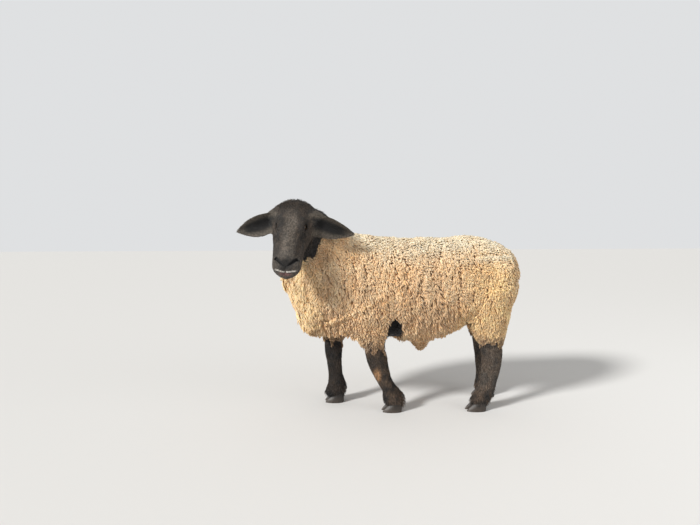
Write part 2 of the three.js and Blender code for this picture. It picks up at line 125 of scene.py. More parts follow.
# the middle of each foot, and how far its claws lie to either side
FEET = {"fore_left": (-58, -68), "fore_right": (-295, 84), "hind_left": (306, -96),
        "hind_right": (400, 96)}
CLAW_SPREAD = 18
DEWCLAW_RADII = np.array([9, 7, 11]) * MM
HEAD = [
    [-42, 0, 0, 8, 8, 8], [-34, 0, 0, 50, 36, 44], [-8, 0, 0, 72, 52, 66], [25, 0, 0, 81, 59, 78],
    [60, 0, 0, 81, 62, 85], [97, 0, 0, 76, 61, 84], [130, 0, 0, 71, 59, 77], [165, 0, 0, 67, 55, 66],
    [200, 0, 0, 63, 49, 57], [235, 0, -1, 58, 41, 50], [262, 0, -4, 53, 31, 44], [281, 0, -8, 44, 20, 33],
    [293, 0, -11, 26, 10, 18], [297, 0, -12, 6, 3, 4]]
EYE = np.array([97, 42, 35]) * MM
EYE_RADIUS = 14.5 * MM

# %% [markdown]
# ## Where the head points
# The head has its own frame: along the face from the back of the skull to the lips, to the sheep's
# left, and out of the brow. It is turned well to the left and the face hangs steeply.

# %% Frames of the head and ears
def unit(v):
    """Each vector divided by its own length."""
    v = np.asarray(v, float)
    return v / np.maximum(np.linalg.norm(v, axis=-1, keepdims=True), 1e-12)


def turn_about(v, axis, degrees):
    """Rodrigues' rotation: the part across the axis turns, the part along it stays."""
    a = math.radians(degrees)
    return (v * math.cos(a) + np.cross(axis, v) * math.sin(a)
            + axis * np.dot(axis, v) * (1 - math.cos(a)))


YAW, PITCH, TILT = math.radians(81), math.radians(54), -3.5
HEAD_AT = np.array([-470, -150, 855]) * MM
LEVEL = np.array([-math.cos(YAW), -math.sin(YAW), 0])
face_axis = LEVEL * math.cos(PITCH) - Z_AXIS * math.sin(PITCH)
face_side = np.cross(Z_AXIS, LEVEL)
HEAD_AXES = np.array([turn_about(v, LEVEL, TILT)
                      for v in (face_axis, face_side, np.cross(face_axis, face_side))])


def to_head(points):
    """Points in the head's frame: distances along its three axes from the back of the skull."""
    return (points - HEAD_AT) @ HEAD_AXES.T


def from_head(points):
    """The way back from the head's frame."""
    return np.asarray(points) @ HEAD_AXES + HEAD_AT


EAR_ROOT = np.array([31, 46, 15]) * MM
EAR_LENGTH = 206 * MM
EAR_DROOP, EAR_BACK = {1: math.radians(25), -1: math.radians(29)}, math.radians(10)


def ear_axes(sideways):
    """Axes of an ear in the head's frame: along it, across it, and out of its hollow."""
    down, ahead = HEAD_AXES @ -Z_AXIS, HEAD_AXES @ LEVEL
    droop = EAR_DROOP[sideways]
    along = unit(np.array([-math.sin(EAR_BACK), sideways * math.cos(EAR_BACK), 0]) * math.cos(droop)
                 + down * math.sin(droop))
    opening = 0.35 * down + 0.9 * ahead
    hollow = unit(opening - along * np.dot(opening, along))
    return np.array([along, np.cross(hollow, along), hollow])


SHIFT = np.array(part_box("eye_left")).mean(axis=0) - from_head(EYE)
print("the packed model is shifted by", SHIFT.round(4))

# %% [markdown]
# ## A body part as a distance
# The skin could be lofted part by part and the parts blended by hand. Here each part is a
# function that tells how far a point lies outside it, because such functions can be blended: the
# smaller of two distances is the union of two parts, and a rounded smaller-of-two is a union with a
# fillet, as where a leg grows out of the trunk. One skin then covers everything without a seam.

# %% Sections of a part at any place
def even_rows(rows, samples=400):
    """Cubic through the rows of a plan. Its slope at a row is that of the line between the
    row's neighbours, as in the solids."""
    place = np.linspace(rows[0, 0], rows[-1, 0], samples)
    i = np.clip(np.searchsorted(rows[:, 0], place, side="right") - 1, 0, len(rows) - 2)
    before, here = rows[np.maximum(i - 1, 0)], rows[i]
    there, after = rows[i + 1], rows[np.minimum(i + 2, len(rows) - 1)]
    span = (there - here)[:, :1]
    t = (place[:, None] - here[:, :1]) / span
    leave = (there - before) / (there - before)[:, :1] * span
    arrive = (after - here) / (after - here)[:, :1] * span
    return ((2 * t**3 - 3 * t**2 + 1) * here + (t**3 - 2 * t**2 + t) * leave
            + (3 * t**2 - 2 * t**3) * there + (t**3 - t**2) * arrive)


THINNING = ([150, 270], [1, 0.3])  # places along the neck, and shares of the coat's depth there
LEAST_EVEN = 0.75  # for the open ends of parts that run on into others


def body_part(plan, depth, origin=(0, 0, 0), axes=np.eye(3), power=2.0,
              taper=0.0, blend=20.0, capped=True, thinning=False):
    """A part ready to measure. The skin's plan is the outer plan with each reach scaled by
    1 - depth / its greatest value, and its ends drawn in by the same depth. Where thinning is
    asked for, the coat thins along the part."""
    rows = np.array(plan, float)
    share = np.interp(rows[:, 0], *THINNING)[:, None] if thinning else 1
    rows[:, 3:] *= 1 - depth * share / rows[:, 3:].max(axis=0)
    if capped:
        middle, length = rows[:, 0].mean(), np.ptp(rows[:, 0])
        rows[:, 0] = middle + (rows[:, 0] - middle) * (1 - 2 * depth / length)
    dense = even_rows(rows * MM)
    slope = np.gradient(dense[:, 3:].mean(axis=1), dense[:, 0])
    even = np.maximum(1 / np.sqrt(1 + slope**2), 0 if capped else LEAST_EVEN)
    reach = dense[:, 3:].max(axis=1, keepdims=True)
    spine = origin + dense[:, :3] @ axes
    return {"rows": np.column_stack([dense, even]), "origin": np.array(origin, float), "axes": axes,
            "power": power, "taper": taper, "blend": blend * MM,
            "low": (spine - reach).min(axis=0), "high": (spine + reach).max(axis=0)}

# %% Distance from a part
FAR = 0.3
MARGIN = 0.10


def outside_part(part, points):
    """How far points lie outside a part. In a section x and y are the shares of the reach on each
    side, and k = (x^p + y^p)^(1/p) is 1 on the surface. The distance is (k - 1) over the slope of
    k, less where the part narrows along its axis."""
    result = np.full(len(points), FAR)
    inside = (points > part["low"] - MARGIN) & (points < part["high"] + MARGIN)
    near = np.flatnonzero(inside.all(axis=1))
    if not len(near):
        return result
    place, across, rise = ((points[near] - part["origin"]) @ part["axes"].T).T
    rows = part["rows"]
    side, up, half, above, below, even = (np.interp(place, rows[:, 0], rows[:, c]) for c in range(1, 7))
    rise = rise - up
    reach = np.where(rise > 0, above, below)
    y = np.abs(rise) / reach
    half = half * (1 - part["taper"] * np.clip(np.where(rise < 0, y, 0), 0, 1))
    x = np.abs(across - side) / half
    p = part["power"]
    k = np.maximum((x**p + y**p) ** (1 / p), 1e-5)
    steep = k ** (1 - p) * np.hypot(x ** (p - 1) / half, y ** (p - 1) / reach)
    flat = (k - 1) / np.maximum(steep, 1 / FAR) * even
    beyond = np.maximum(np.maximum(rows[0, 0] - place, place - rows[-1, 0]), 0)
    result[near] = np.where(beyond > 0, np.hypot(np.maximum(flat, 0), beyond), flat)
    return result


def blended(a, b, width):
    """Union of two distances: their smaller one, less h^2 * width / 4 where they differ by less
    than width, with h the share of width that is left."""
    h = np.maximum(width - np.abs(a - b), 0) / width
    return np.minimum(a, b) - h * h * width / 4


def carved(a, b, width):
    """Shape a with shape b taken out of it, rounded over the same width."""
    return -blended(-a, b, width)


def slope_of(function, points, step=0.3 * MM):
    """Gradient by central differences: half the change over a step each way, divided by it."""
    return np.stack([(function(points + step * axis) - function(points - step * axis)) / (2 * step)
                     for axis in np.eye(3)], axis=1)

# %% All the parts, twice: the coat's outline and the skin
NECK_FROM, NECK_TO = np.array([-270, 0, 580]) * MM, np.array([-440, -125, 838]) * MM
neck_axis = unit(NECK_TO - NECK_FROM)
neck_side = unit(np.cross(Z_AXIS, neck_axis))
NECK_AXES = np.array([neck_axis, neck_side, np.cross(neck_axis, neck_side)])
UPRIGHT = {"axes": np.array([Z_AXIS, Y_AXIS, X_AXIS])}
LEG = {**UPRIGHT, "capped": False}
# name, plan, depth of the coat in millimetres, and how the part is measured
KINDS = [
    ("trunk", TRUNK, 24, {"power": 2.15}),
    ("neck", NECK, 22, {"origin": NECK_FROM, "axes": NECK_AXES, "power": 2.1, "blend": 60, "thinning": True}),
    ("belly_tuft", BELLY_TUFT, 14, {**LEG, "blend": 20}),
    *[("upper_leg_" + leg, plan, 15, {**LEG, "blend": 45}) for leg, plan in UPPER_LEGS.items()],
    ("tail", TAIL, 12, {**UPRIGHT, "blend": 14}),
    *[("lower_leg_" + leg, plan, 2, {**LEG, "blend": 10}) for leg, plan in LOWER_LEGS.items()],
    ("head", HEAD, 2.5, {"origin": HEAD_AT, "axes": HEAD_AXES, "power": 2.1, "taper": 0.15, "blend": 26}),
]
SKIN, COAT = ({name: body_part(plan, depth * thick, **how) for name, plan, depth, how in KINDS}
              for thick in (1, 0))
PART_NAMES = [*SKIN, "ear_left", "ear_right"]
HEAD_PART, TAIL_PART, TUFT_PART = (PART_NAMES.index(name) for name in ("head", "tail", "belly_tuft"))
print(len(PART_NAMES), "parts")

# %% [markdown]
# ## The face
# A sheep's face is bone under thin skin: a rim round each eye, a hollow for the tear gland in front
# of it, a long crest down the cheek, a heavy chewing muscle behind, and a split upper lip under
# comma-shaped nostrils. Each of these is a soft swelling or a groove, added to the distance of the
# plain head, on both sides at once because the sideways coordinate is taken without its sign.
# Nostril and mouth are chains of points, and are first dropped onto the plain head.

# %% Swellings, ridges and grooves of the face
# [along, side, up, reach along, reach to the side, reach up, height], millimetres
SWELLINGS = [
    [58, 66, -36, 44, 24, 38, 5.5],  # chewing muscle
    [86, 36, 56, 24, 15, 11, 5.0],  # brow over the eye
    [128, 50, 26, 16, 13, 12, -6.5],  # hollow of the tear gland
    [180, 62, -14, 34, 18, 18, -7.0],  # hollow of the cheek
    [44, 60, 28, 18, 16, 14, -4.0],  # temple
    [16, 0, 58, 40, 44, 22, 11.0],  # crown
    [104, 0, 64, 28, 14, 12, -3.0],  # dip between the brows
    [180, 0, 52, 56, 17, 15, 5.0],  # arched bridge of the nose
    [196, 42, 32, 40, 13, 13, -5.5],  # slope beside the bridge
    [244, 46, 18, 15, 10, 13, 4.5],  # wing of the nostril
    [246, 8, 36, 16, 11, 10, 3.0],  # pad between the nostrils
    [276, 17, 12, 12, 14, 12, 4.5],  # upper lip
    [258, 46, -4, 18, 12, 14, 3.5],  # whisker pad
    [292, 0, -16, 12, 24, 9, 3.5],  # lower lip
    [284, 0, -40, 16, 20, 12, 3.5],  # chin
    [230, 48, -26, 14, 11, 11, -3.5],  # corner of the mouth
    [20, 34, -62, 40, 24, 18, -3.5],  # throat behind the jaw
    [120, 66, -22, 22, 12, 12, 3.0],  # cheek bone under the eye
]
# [from along, side, up, to along, side, up, half-width, height], millimetres
RIDGES = [
    [76, 70, 8, 168, 64, -10, 9, 4.5],  # crest of the cheek
    [20, 56, -68, 200, 36, -52, 9, 3.0],  # edge of the jaw
    [118, 50, 32, 172, 52, 6, 4.5, -3.0],  # tear track
    [270, 0, 19, 290, 0, 2, 2.0, -4.0],  # split of the upper lip
    [150, 34, 44, 236, 27, 30, 6, 2.6],  # edge of the nasal bone
    [60, 20, 64, 150, 24, 56, 8, 2.0],  # edge of the forehead
    [236, 52, -22, 214, 54, -34, 3.0, -2.4],  # crease behind the mouth
    [216, 50, 8, 240, 54, -8, 4.0, -1.6],  # fold of the cheek
]


def to_segment(points, a, b):
    """Distance to a segment and the share of its length where the nearest point lies."""
    along = b - a
    share = np.clip((points - a) @ along / (along @ along), 0, 1)
    return np.linalg.norm(points - a - share[:, None] * along, axis=1), share


def to_chain(points, chain):
    """Distance to the nearest segment of a chain; where its points have a radius, less that."""
    nearest = np.full(len(points), FAR)
    for here, there in zip(chain[:-1], chain[1:]):
        away, share = to_segment(points, here[:3], there[:3])
        if len(here) > 3:
            away = away - (here[3] + share * (there[3] - here[3]))
        nearest = np.minimum(nearest, away)
    return nearest


def dropped(chain, sunk):
    """A chain moved onto the plain head, or as far as `sunk` below it, by Newton's steps."""
    chain = np.array(chain, float) * MM

    def off_head(q):
        """Distance from the plain head, or from a surface sunk into it."""
        return outside_part(SKIN["head"], from_head(q)) + sunk * MM

    for _ in range(4):
        slope = slope_of(off_head, chain[:, :3], 0.5 * MM)
        chain[:, :3] -= slope * (off_head(chain[:, :3]) / (slope**2).sum(axis=1))[:, None]
    return chain


# [along, side, up, radius] down the nostril, and [along, side, up] from the middle of the lips to
# the corner of the mouth
NOSTRIL = dropped([[268, 3, 19, 0.9], [264, 10, 22, 2.0], [257, 20, 25, 4.2], [247, 29, 26, 5.8],
                   [239, 37, 23, 5.0], [241, 43, 15, 2.4]], 1.5)
MOUTH = dropped([[289, 0, 4], [286, 12, 3], [279, 24, 0], [269, 36, -5], [254, 45, -13], [234, 52, -23]], 0)
LIPS_DEEP, LIPS_WIDE = 4.2 * MM, 2.1 * MM


def face_relief(q):
    """Height of the face over the plain head: each swelling is h * exp(-d^2) with d the distance
    over its reaches, and each ridge the same of the distance to its line over its half-width."""
    height = np.zeros(len(q))
    for row in np.array(SWELLINGS) * MM:
        height += row[6] * np.exp(-(((q - row[:3]) / row[3:6]) ** 2).sum(axis=1))
    for row in np.array(RIDGES) * MM:
        height += row[7] * np.exp(-((to_segment(q, row[:3], row[3:6])[0] / row[6]) ** 2))
    return height - LIPS_DEEP * np.exp(-((to_chain(q, MOUTH) / LIPS_WIDE) ** 2))

# %% [markdown]
# ### Eyes and lids
# The lids are a thin cap over the eyeball with an almond-shaped opening, as in life: the ball is
# taken out of the head, then the almond is cut from the cap. The eye looks sideways and a little
# forward, and the almond runs along the face, lower towards the nose.

# %% The frame of the eye, and the lids
GAZE = unit([0.36, 0.81, 0.46])
slit = np.array([1.0, 0.0, -0.34])
EYE_AXES = np.array([unit(slit - GAZE * (slit @ GAZE)), np.zeros(3), GAZE])
EYE_AXES[1] = np.cross(EYE_AXES[2], EYE_AXES[0])
LID, FOLD_OFF, FOLD_WIDE, FOLD_HIGH = 2.4 * MM, 5 * MM, 1.3 * MM, 2.0 * MM
OPEN_LONG, OPEN_HIGH, OPEN_FROM = 15.5 * MM, 8.2 * MM, 7 * MM


def with_lids(f, q):
    """Cap the eyeball, raise a fold round the lids, take the ball out, and cut the almond
    |b| < high * (1 - (a / long)^2)."""
    a, b, c = ((q - EYE) @ EYE_AXES.T).T
    ball = np.linalg.norm(q - EYE, axis=1)
    f = blended(f, ball - EYE_RADIUS - LID, 5 * MM)
    off_edge = np.abs(b) - OPEN_HIGH * (1 - (a / OPEN_LONG) ** 2)
    fold = np.exp(-(((off_edge - FOLD_OFF) / FOLD_WIDE) ** 2) - (a / (15 * MM)) ** 4)
    f = f + np.where(c > 0, FOLD_HIGH * fold, 0)
    f = carved(f, ball - EYE_RADIUS - 0.1 * MM, 0.8 * MM)
    almond = np.maximum(off_edge * 0.75, OPEN_FROM - c)
    return carved(f, almond, 1.2 * MM)


ORBIT = np.array([98, 41, 38]) * MM
ORBIT_RADII = np.array([26, 18, 19]) * MM


def outside_ball(q, centre, radii):
    """Distance from an egg: k (k - 1) over the slope of k, k being the scaled radius."""
    k = np.linalg.norm((q - centre) / radii, axis=1)
    slope = np.linalg.norm((q - centre) / radii**2, axis=1)
    return k * (k - 1) / np.maximum(slope, 1e-6)


def outside_head(f, q):
    """The plain head's distance f with rims, relief, lids and nostrils. q is in the head's frame
    with its sideways coordinate made positive."""
    f = blended(f, outside_ball(q, ORBIT, ORBIT_RADII), 14 * MM)
    f = with_lids(f - face_relief(q), q)
    return carved(f, to_chain(q, NOSTRIL), 2.5 * MM)

# %% [markdown]
# ### Ears
# An ear is a leaf, cupped across and bent along, hung from a short stout tube. Its hollow faces
# forward and down.

# %% Distance from an ear
EAR_WIDE, EAR_CUP, EAR_THICK, EAR_RIM = 48 * MM, 0.45, 4.5 * MM, 2.2 * MM
EAR_HIDE = 1.5 * MM  # how far the hide lies under the outline of an ear
EAR_BASE, EAR_BASE_RADII = np.array([20, 0, -2]) * MM, np.array([66, 36, 30]) * MM
TUBE, CHANNEL = np.array([[[-20, 0, 1], [38, 0, 7]], [[52, 0, 20], [96, 0, 16]]]) * MM


def to_ear(sideways, points):
    """Points in an ear's frame: along it, across it and out of its hollow, from its root."""
    return (to_head(points) - EAR_ROOT * [1, sideways, 1]) @ ear_axes(sideways).T


def over_leaf(q, cupped=1.2):
    """Share t of the leaf's length, half-width there, and height over its middle surface. The
    half-width is fullest near the middle and closes as sqrt(1 - t^3) at the tip. The middle bows
    along the leaf and curls up with the square of the way across, as far as `cupped` half-widths."""
    t = np.clip(q[:, 0] / EAR_LENGTH, 0, 1)
    swell = np.maximum(np.sin(np.pi * t), 0) ** 0.9
    half = EAR_WIDE * (0.42 + 0.58 * swell) * np.sqrt(np.maximum(1 - t**3, 0.004))
    across = np.clip(q[:, 1], -cupped * half, cupped * half)
    return t, half, q[:, 2] - ((14 * np.sin(np.pi * t) - 10 * t * t) * MM + EAR_CUP * across**2 / half)


def outside_ear(sideways, points):
    """Distance from the leaf, whose section is a thin lens bent along the cup with a round rim,
    joined to its tube and to the mound it stands on. The channel is taken out above the leaf only."""
    result = np.full(len(points), FAR)
    q = to_ear(sideways, points)
    middle, reach = [EAR_LENGTH / 2, 0, 0.01], [EAR_LENGTH / 2 + 0.08, 0.09, 0.075]
    near = np.flatnonzero((np.abs(q - middle) < reach).all(axis=1))
    if not len(near):
        return result
    q = q[near]
    t, half, rise = over_leaf(q)
    half = np.maximum(half - EAR_HIDE - EAR_RIM, 0.5 * MM)
    thick = np.maximum((EAR_THICK - 0.5 * EAR_HIDE) * (1 - 0.4 * t) - EAR_RIM, 0)
    beside = np.maximum(np.abs(q[:, 1]) - half, 0)
    beyond = np.maximum(np.maximum(-q[:, 0], q[:, 0] - EAR_LENGTH + EAR_HIDE + EAR_RIM), 0)
    lens = thick * np.clip(1 - (q[:, 1] / half) ** 2, 0, 1)
    leaf = np.sqrt(beside**2 + beyond**2 + rise**2) - lens - EAR_RIM
    away, share = to_segment(q, *TUBE)
    f = blended(leaf, away - (17 - 6 * share) * MM, 12 * MM)
    f = blended(f, outside_ball(q, EAR_BASE, EAR_BASE_RADII - EAR_HIDE), 10 * MM)
    away, share = to_segment(q, *CHANNEL)
    channel = np.maximum(away - (13 - 2 * share) * MM, thick + EAR_RIM + 1 * MM - rise)
    result[near] = carved(f, channel, 5 * MM)
    return result

# %% The whole body as one distance
def mirrored(q):
    """The head's frame folded onto the left side."""
    return q * [1, 0, 1] + np.abs(q) * [0, 1, 0]


def part_distances(points, parts):
    """One row of distances for each part, in the order of PART_NAMES."""
    return np.array([*(outside_part(part, points) for part in parts.values()),
                     outside_ear(1, points), outside_ear(-1, points)])


# hollow behind the near elbow, where the fleece parts from the leg
ARMPIT, ARMPIT_RADII = np.array([-74, -142, 350]) * MM, np.array([34, 46, 76]) * MM


def outside_body(points, parts, ear_blend):
    """Union of all parts with their fillets; the skin's head has its face on."""
    total, *rows = part_distances(points, parts)
    for name, row in zip(PART_NAMES[1:], rows):
        if name == "head" and parts is SKIN:
            near = np.flatnonzero(row < 0.06)
            row[near] = outside_head(row[near], mirrored(to_head(points[near])))
        total = blended(total, row, parts[name]["blend"] if name in parts else ear_blend * MM)
    return total


def outside_skin(points):
    """The skin's distance, with the armpit taken out."""
    return carved(outside_body(points, SKIN, 34), outside_ball(points, ARMPIT, ARMPIT_RADII), 16 * MM)

# %% [markdown]
# ## From a distance to a mesh
# The surface is where the distance is zero. Space is cut into boxes, small round the head and ears
# and larger elsewhere; each box that the surface crosses gets one vertex, and each edge of a box
# that it crosses gets one quad between four such vertices. This is the surface-nets method. It
# was chosen over a voxel remesh because the boxes can be small where the face needs them.

# %% Boxes of different sizes
def graded(*stops):
    """Places along one axis: pairs of (from, step), and the last stop is the end."""
    places = []
    for (start, step), (end, _) in zip(stops[:-1], stops[1:]):
        count = max(1, round((end - start) / step))
        places.append(start + (end - start) * np.arange(count) / count)
    return np.append(np.concatenate(places), stops[-1][0])


FINE, MIDDLE, COARSE = 0.00275, 0.0055, 0.0105
ROUGH, CLOSE = 0.014, 0.022  # step of the coarse pass, and how near the surface is measured
grid_x = graded((-0.715, FINE * 1.2), (-0.565, FINE), (-0.405, FINE * 1.2), (-0.235, COARSE), (0.54, 0))
grid_y = graded((-0.40, FINE), (-0.105, MIDDLE), (-0.06, COARSE), (0.25, 0))
grid_z = graded((0.005, MIDDLE), (0.10, COARSE * 0.8), (0.30, COARSE), (0.575, FINE), (0.925, 0))


def field_on_grid(places):
    """Distances at all corners: a coarse pass is spread over the grid by straight lines between
    its places, and only corners close to the surface are then measured."""
    rough = [np.linspace(p[0], p[-1], max(2, round(np.ptp(p) / ROUGH))) for p in places]
    corners = np.stack(np.meshgrid(*rough, indexing="ij"), axis=-1).reshape(-1, 3)
    field = outside_skin(corners).reshape([len(r) for r in rough])
    for k, (fine, coarse) in enumerate(zip(places, rough)):
        at = np.interp(fine, coarse, np.arange(len(coarse)))
        low = np.clip(at.astype(int), 0, len(coarse) - 2)
        share = (at - low).reshape([-1 if j == k else 1 for j in range(3)])
        field = np.take(field, low, axis=k) * (1 - share) + np.take(field, low + 1, axis=k) * share
    close = np.nonzero(np.abs(field) < CLOSE)
    points = np.stack([places[k][close[k]] for k in range(3)], axis=1)
    field[close] = np.concatenate([outside_skin(block) for block in np.array_split(points, 40)])
    return field

# %% Surface nets
def surface_nets(field, places):
    """One vertex for each crossed box, at the mean of its crossed edges' zero points, and one
    quad for each crossed edge, between the four boxes round it."""
    inside, shape = field < 0, np.array(field.shape)
    count = sum(inside[i:shape[0] - 1 + i, j:shape[1] - 1 + j, k:shape[2] - 1 + k].astype(np.int8)
                for i in (0, 1) for j in (0, 1) for k in (0, 1))
    boxes = np.argwhere((count > 0) & (count < 8))
    number = np.full(shape - 1, -1, np.int32)
    number[tuple(boxes.T)] = np.arange(len(boxes))
    total, crossings, quads = np.zeros((len(boxes), 3)), np.zeros(len(boxes)), []
    for axis in range(3):
        ahead, *aside = np.roll(np.eye(3, dtype=int), -axis, axis=0)
        b, c = sorted(aside, key=np.argmax)
        for j, k in ((0, 0), (0, 1), (1, 0), (1, 1)):
            low = boxes + j * b + k * c
            f0, f1 = field[tuple(low.T)], field[tuple((low + ahead).T)]
            crossed = (f0 < 0) != (f1 < 0)
            t = np.where(crossed, f0 / np.where(crossed, f0 - f1, 1), 0)[:, None]
            p0, p1 = (np.stack([p[end[:, m]] for m, p in enumerate(places)], axis=1)
                      for end in (low, low + ahead))
            total += np.where(crossed[:, None], p0 + t * (p1 - p0), 0)
            crossings += crossed
        edges = np.argwhere(np.diff(inside.astype(np.int8), axis=axis))
        edges = edges[(((edges > 0) & (edges < shape - 1)) | (ahead > 0)).all(axis=1)]
        ring = np.stack([number[tuple((edges - j * b - k * c).T)]
                         for j, k in ((1, 1), (0, 1), (0, 0), (1, 0))], axis=1)
        outward = inside[tuple(edges.T)] == (axis != 1)
        quads.append(np.where(outward[:, None], ring, ring[:, ::-1]))
    return total / crossings[:, None], np.concatenate(quads)


def settle(points, steps=2):
    """Newton's steps onto the surface: each point moves by its distance against the slope."""
    for _ in range(steps):
        f, slope = outside_skin(points), slope_of(outside_skin, points)
        move = np.clip(f / np.maximum((slope**2).sum(axis=1), 0.2), -4 * MM, 4 * MM)
        points = points - move[:, None] * slope
    return points


def across_only(direction, normal):
    """A direction less its share along the normal."""
    return direction - normal * (direction * normal).sum(axis=1)[:, None]


def relaxed(points, quads, rounds=3):
    """Even the mesh: each point moves half-way to the mean of its neighbours, along the surface
    only, and back onto it."""
    ends = np.concatenate([quads.ravel(), np.roll(quads, -1, axis=1).ravel()])
    others = np.roll(ends, quads.size)
    for _ in range(rounds):
        mean = np.stack([np.bincount(ends, points[others, k]) for k in range(3)], axis=1) \
            / np.bincount(ends)[:, None]
        normal = unit(slope_of(outside_skin, points))
        points = settle(points + across_only((mean - points) * 0.5, normal), 1)
    return points


places = (grid_x, grid_y, grid_z)
skin_points, skin_quads = surface_nets(field_on_grid(places), places)
skin_points = relaxed(settle(skin_points), skin_quads)
skin_normals = unit(slope_of(outside_skin, skin_points))
print("skin:", len(skin_points), "points,", 2 * len(skin_quads), "triangles")

# %% [markdown]
# ## Putting arrays into meshes
# Blender takes whole arrays through foreach_set. Each piece keeps a colour for each vertex, and a
# map called OFBake, where each body part has its own tile: along the part to the right, and round
# it upward. A tuft is a small patch on that map at the place of its root.

# %% Helpers for all objects
def add_object(name, data):
    """A new object in the scene."""
    item = bpy.data.objects.new(name, data)
    bpy.context.scene.collection.objects.link(item)
    return item


def make_mesh(name, points, polygons, tints, bake, material, extra=None):
    """A mesh of points and arrays of equal-sided polygons, with a colour and a map. The map is
    given for each point, or for each corner in the order of the polygons."""
    mesh = bpy.data.meshes.new(name)
    mesh.vertices.add(len(points))
    mesh.vertices.foreach_set("co", (points + SHIFT).astype(np.float32).ravel())
    corners = np.concatenate([p.ravel() for p in polygons]).astype(np.int32)
    sizes = np.concatenate([np.full(len(p), p.shape[1]) for p in polygons])
    mesh.loops.add(len(corners))
    mesh.loops.foreach_set("vertex_index", corners)
    mesh.polygons.add(len(sizes))
    mesh.polygons.foreach_set("loop_start", (np.cumsum(sizes) - sizes).astype(np.int32))
    mesh.polygons.foreach_set("use_smooth", np.ones(len(sizes), bool))
    mesh.update(calc_edges=True)
    for key, value in {"OFBake": bake, **(extra or {})}.items():
        layer = mesh.uv_layers.new(name=key)
        value = value[corners] if len(value) == len(points) else value
        layer.uv.foreach_set("vector", value.astype(np.float32).ravel())
    colour = mesh.color_attributes.new("tint", "FLOAT_COLOR", "POINT")
    colour.data.foreach_set("color", np.column_stack([tints, np.ones(len(tints))]).astype(np.float32).ravel())
    mesh.uv_layers.active = mesh.uv_layers["OFBake"]
    mesh.materials.append(material)
    piece = add_object(name, mesh)
    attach(piece, "root")
    return piece

# %% The unwrap of the body
# from the left, from below, width and height of each part's tile
TILES = {"trunk": (0, 0, 0.60, 0.50), "neck": (0.60, 0, 0.26, 0.50), "head": (0, 0.75, 0.30, 0.25),
         "ear_left": (0.30, 0.75, 0.15, 0.25), "ear_right": (0.45, 0.75, 0.15, 0.25),
         "tail": (0.60, 0.75, 0.10, 0.20), "belly_tuft": (0.70, 0.75, 0.10, 0.20)}
for order, leg in enumerate(UPPER_LEGS):
    TILES["upper_leg_" + leg] = (0.15 * order, 0.50, 0.15, 0.25)
    TILES["lower_leg_" + leg] = (0.60 + 0.10 * order, 0.50, 0.10, 0.25)
TILE_EDGE = 0.006


def on_part(index, points):
    """Share along a part, and share of a turn round it, for points that belong to part index."""
    name = PART_NAMES[index]
    if name.startswith("ear"):
        q = to_ear(1 if name == "ear_left" else -1, points)
        share, _, rise = over_leaf(q, np.inf)
        return share, np.arctan2(rise * 4, q[:, 1]) / (2 * np.pi) % 1
    part = SKIN[name]
    place, across, rise = ((points - part["origin"]) @ part["axes"].T).T
    rows = part["rows"]
    across, rise = across - np.interp(place, *rows.T[:2]), rise - np.interp(place, *rows.T[[0, 2]])
    share = (place - rows[0, 0]) / (rows[-1, 0] - rows[0, 0])
    return np.clip(share, 0, 1), np.arctan2(across, -rise) / (2 * np.pi) % 1


def unwrapped(points, owner, wrap_near=None):
    """Places of points on the map. owner is each point's part. Where wrap_near is given, the turn
    is taken on the side of the cut nearer to it."""
    uv = np.zeros((len(points), 2))
    for index in np.unique(owner):
        mine = np.flatnonzero(owner == index)
        place = np.stack(on_part(index, points[mine]), axis=1)
        if wrap_near is not None:
            place[:, 1] = wrap_near[mine] + (place[:, 1] - wrap_near[mine] + 0.5) % 1 - 0.5
        corner, size = np.reshape(TILES[PART_NAMES[index]], (2, 2))
        uv[mine] = corner + TILE_EDGE + place * (size - 2 * TILE_EDGE)
    return uv


def owners(points):
    """The part that each point of the skin belongs to: the one whose surface is nearest."""
    return np.argmin(part_distances(points, SKIN), axis=0)

# %% [markdown]
# ## Markings
# The fleece is a warm cream, paler along the back, golden on the haunch, dustier on the flank,
# darker low down, and darker still where it faces down, which is painted shade. Head, poll, ears
# and shins are black hair, sun-browned on the shins, with a painted grey highlight along the bridge
# of the nose. Painted shade darkens the far foreleg, the nose and nostrils, the tear and ear
# hollows, the partings and roots of the fleece and the roots of the hair, and staples that stand
# higher are painted lighter. Under the brisket and in the groin the skin is nearly bare; behind the
# near elbow and before the near thigh it is bare and black, painted shade in those hollows. One set
# of functions says where wool grows and colours the skin and everything that grows on it.

# %% Where wool grows
def linear(*rgb):
    """Colour given on the 0-255 scale, as linear light: ((c + 0.055) / 1.055)^2.4."""
    c = np.array(rgb) / 255
    return np.where(c <= 0.04045, c / 12.92, ((c + 0.055) / 1.055) ** 2.4)


def ease(low, high, x):
    """Smooth step: t^2 (3 - 2t), t being the share of the way from low to high."""
    t = np.clip((x - low) / (high - low), 0, 1)
    return t * t * (3 - 2 * t)


def mixed(a, b, share):
    """Colour a turning into colour b, point by point."""
    return a + (b - a) * np.asarray(share)[:, None]


def layered(tint, *layers):
    """Colours laid over a first one in turn. A layer is a colour, its share at each point, and
    where it has three numbers, how much lighter or darker it leaves everything."""
    for colour, share, *light in layers:
        tint = mixed(tint, colour, share) * (light[0][:, None] if light else 1)
    return tint


def bell(points, centre, reach):
    """Soft patch: exp(-d^2) of the distance over its reaches, both in millimetres."""
    return np.exp(-(((points - np.array(centre) * MM) / (np.array(reach) * MM)) ** 2).sum(axis=1))


WAVES = 24
wave_turn = rng.normal(size=(WAVES, 3))
wave_phase = rng.uniform(0, 2 * np.pi, WAVES)


def ripple(points, size, most=np.inf):
    """Soft noise of about unit height, clipped at `most`: a sum of sine waves in random directions."""
    waves = np.sin(points @ wave_turn.T * (2 * np.pi / size) + wave_phase).sum(axis=1)
    return np.clip(waves / np.sqrt(WAVES / 2), -most, most)


HAIR_BEHIND_HEAD = 50 * MM
WOOL_FROM = {"fore": 283 * MM, "hind": 302 * MM}
THROUGH = np.array([1, 0, 1])  # patches of colour that go through the body from side to side


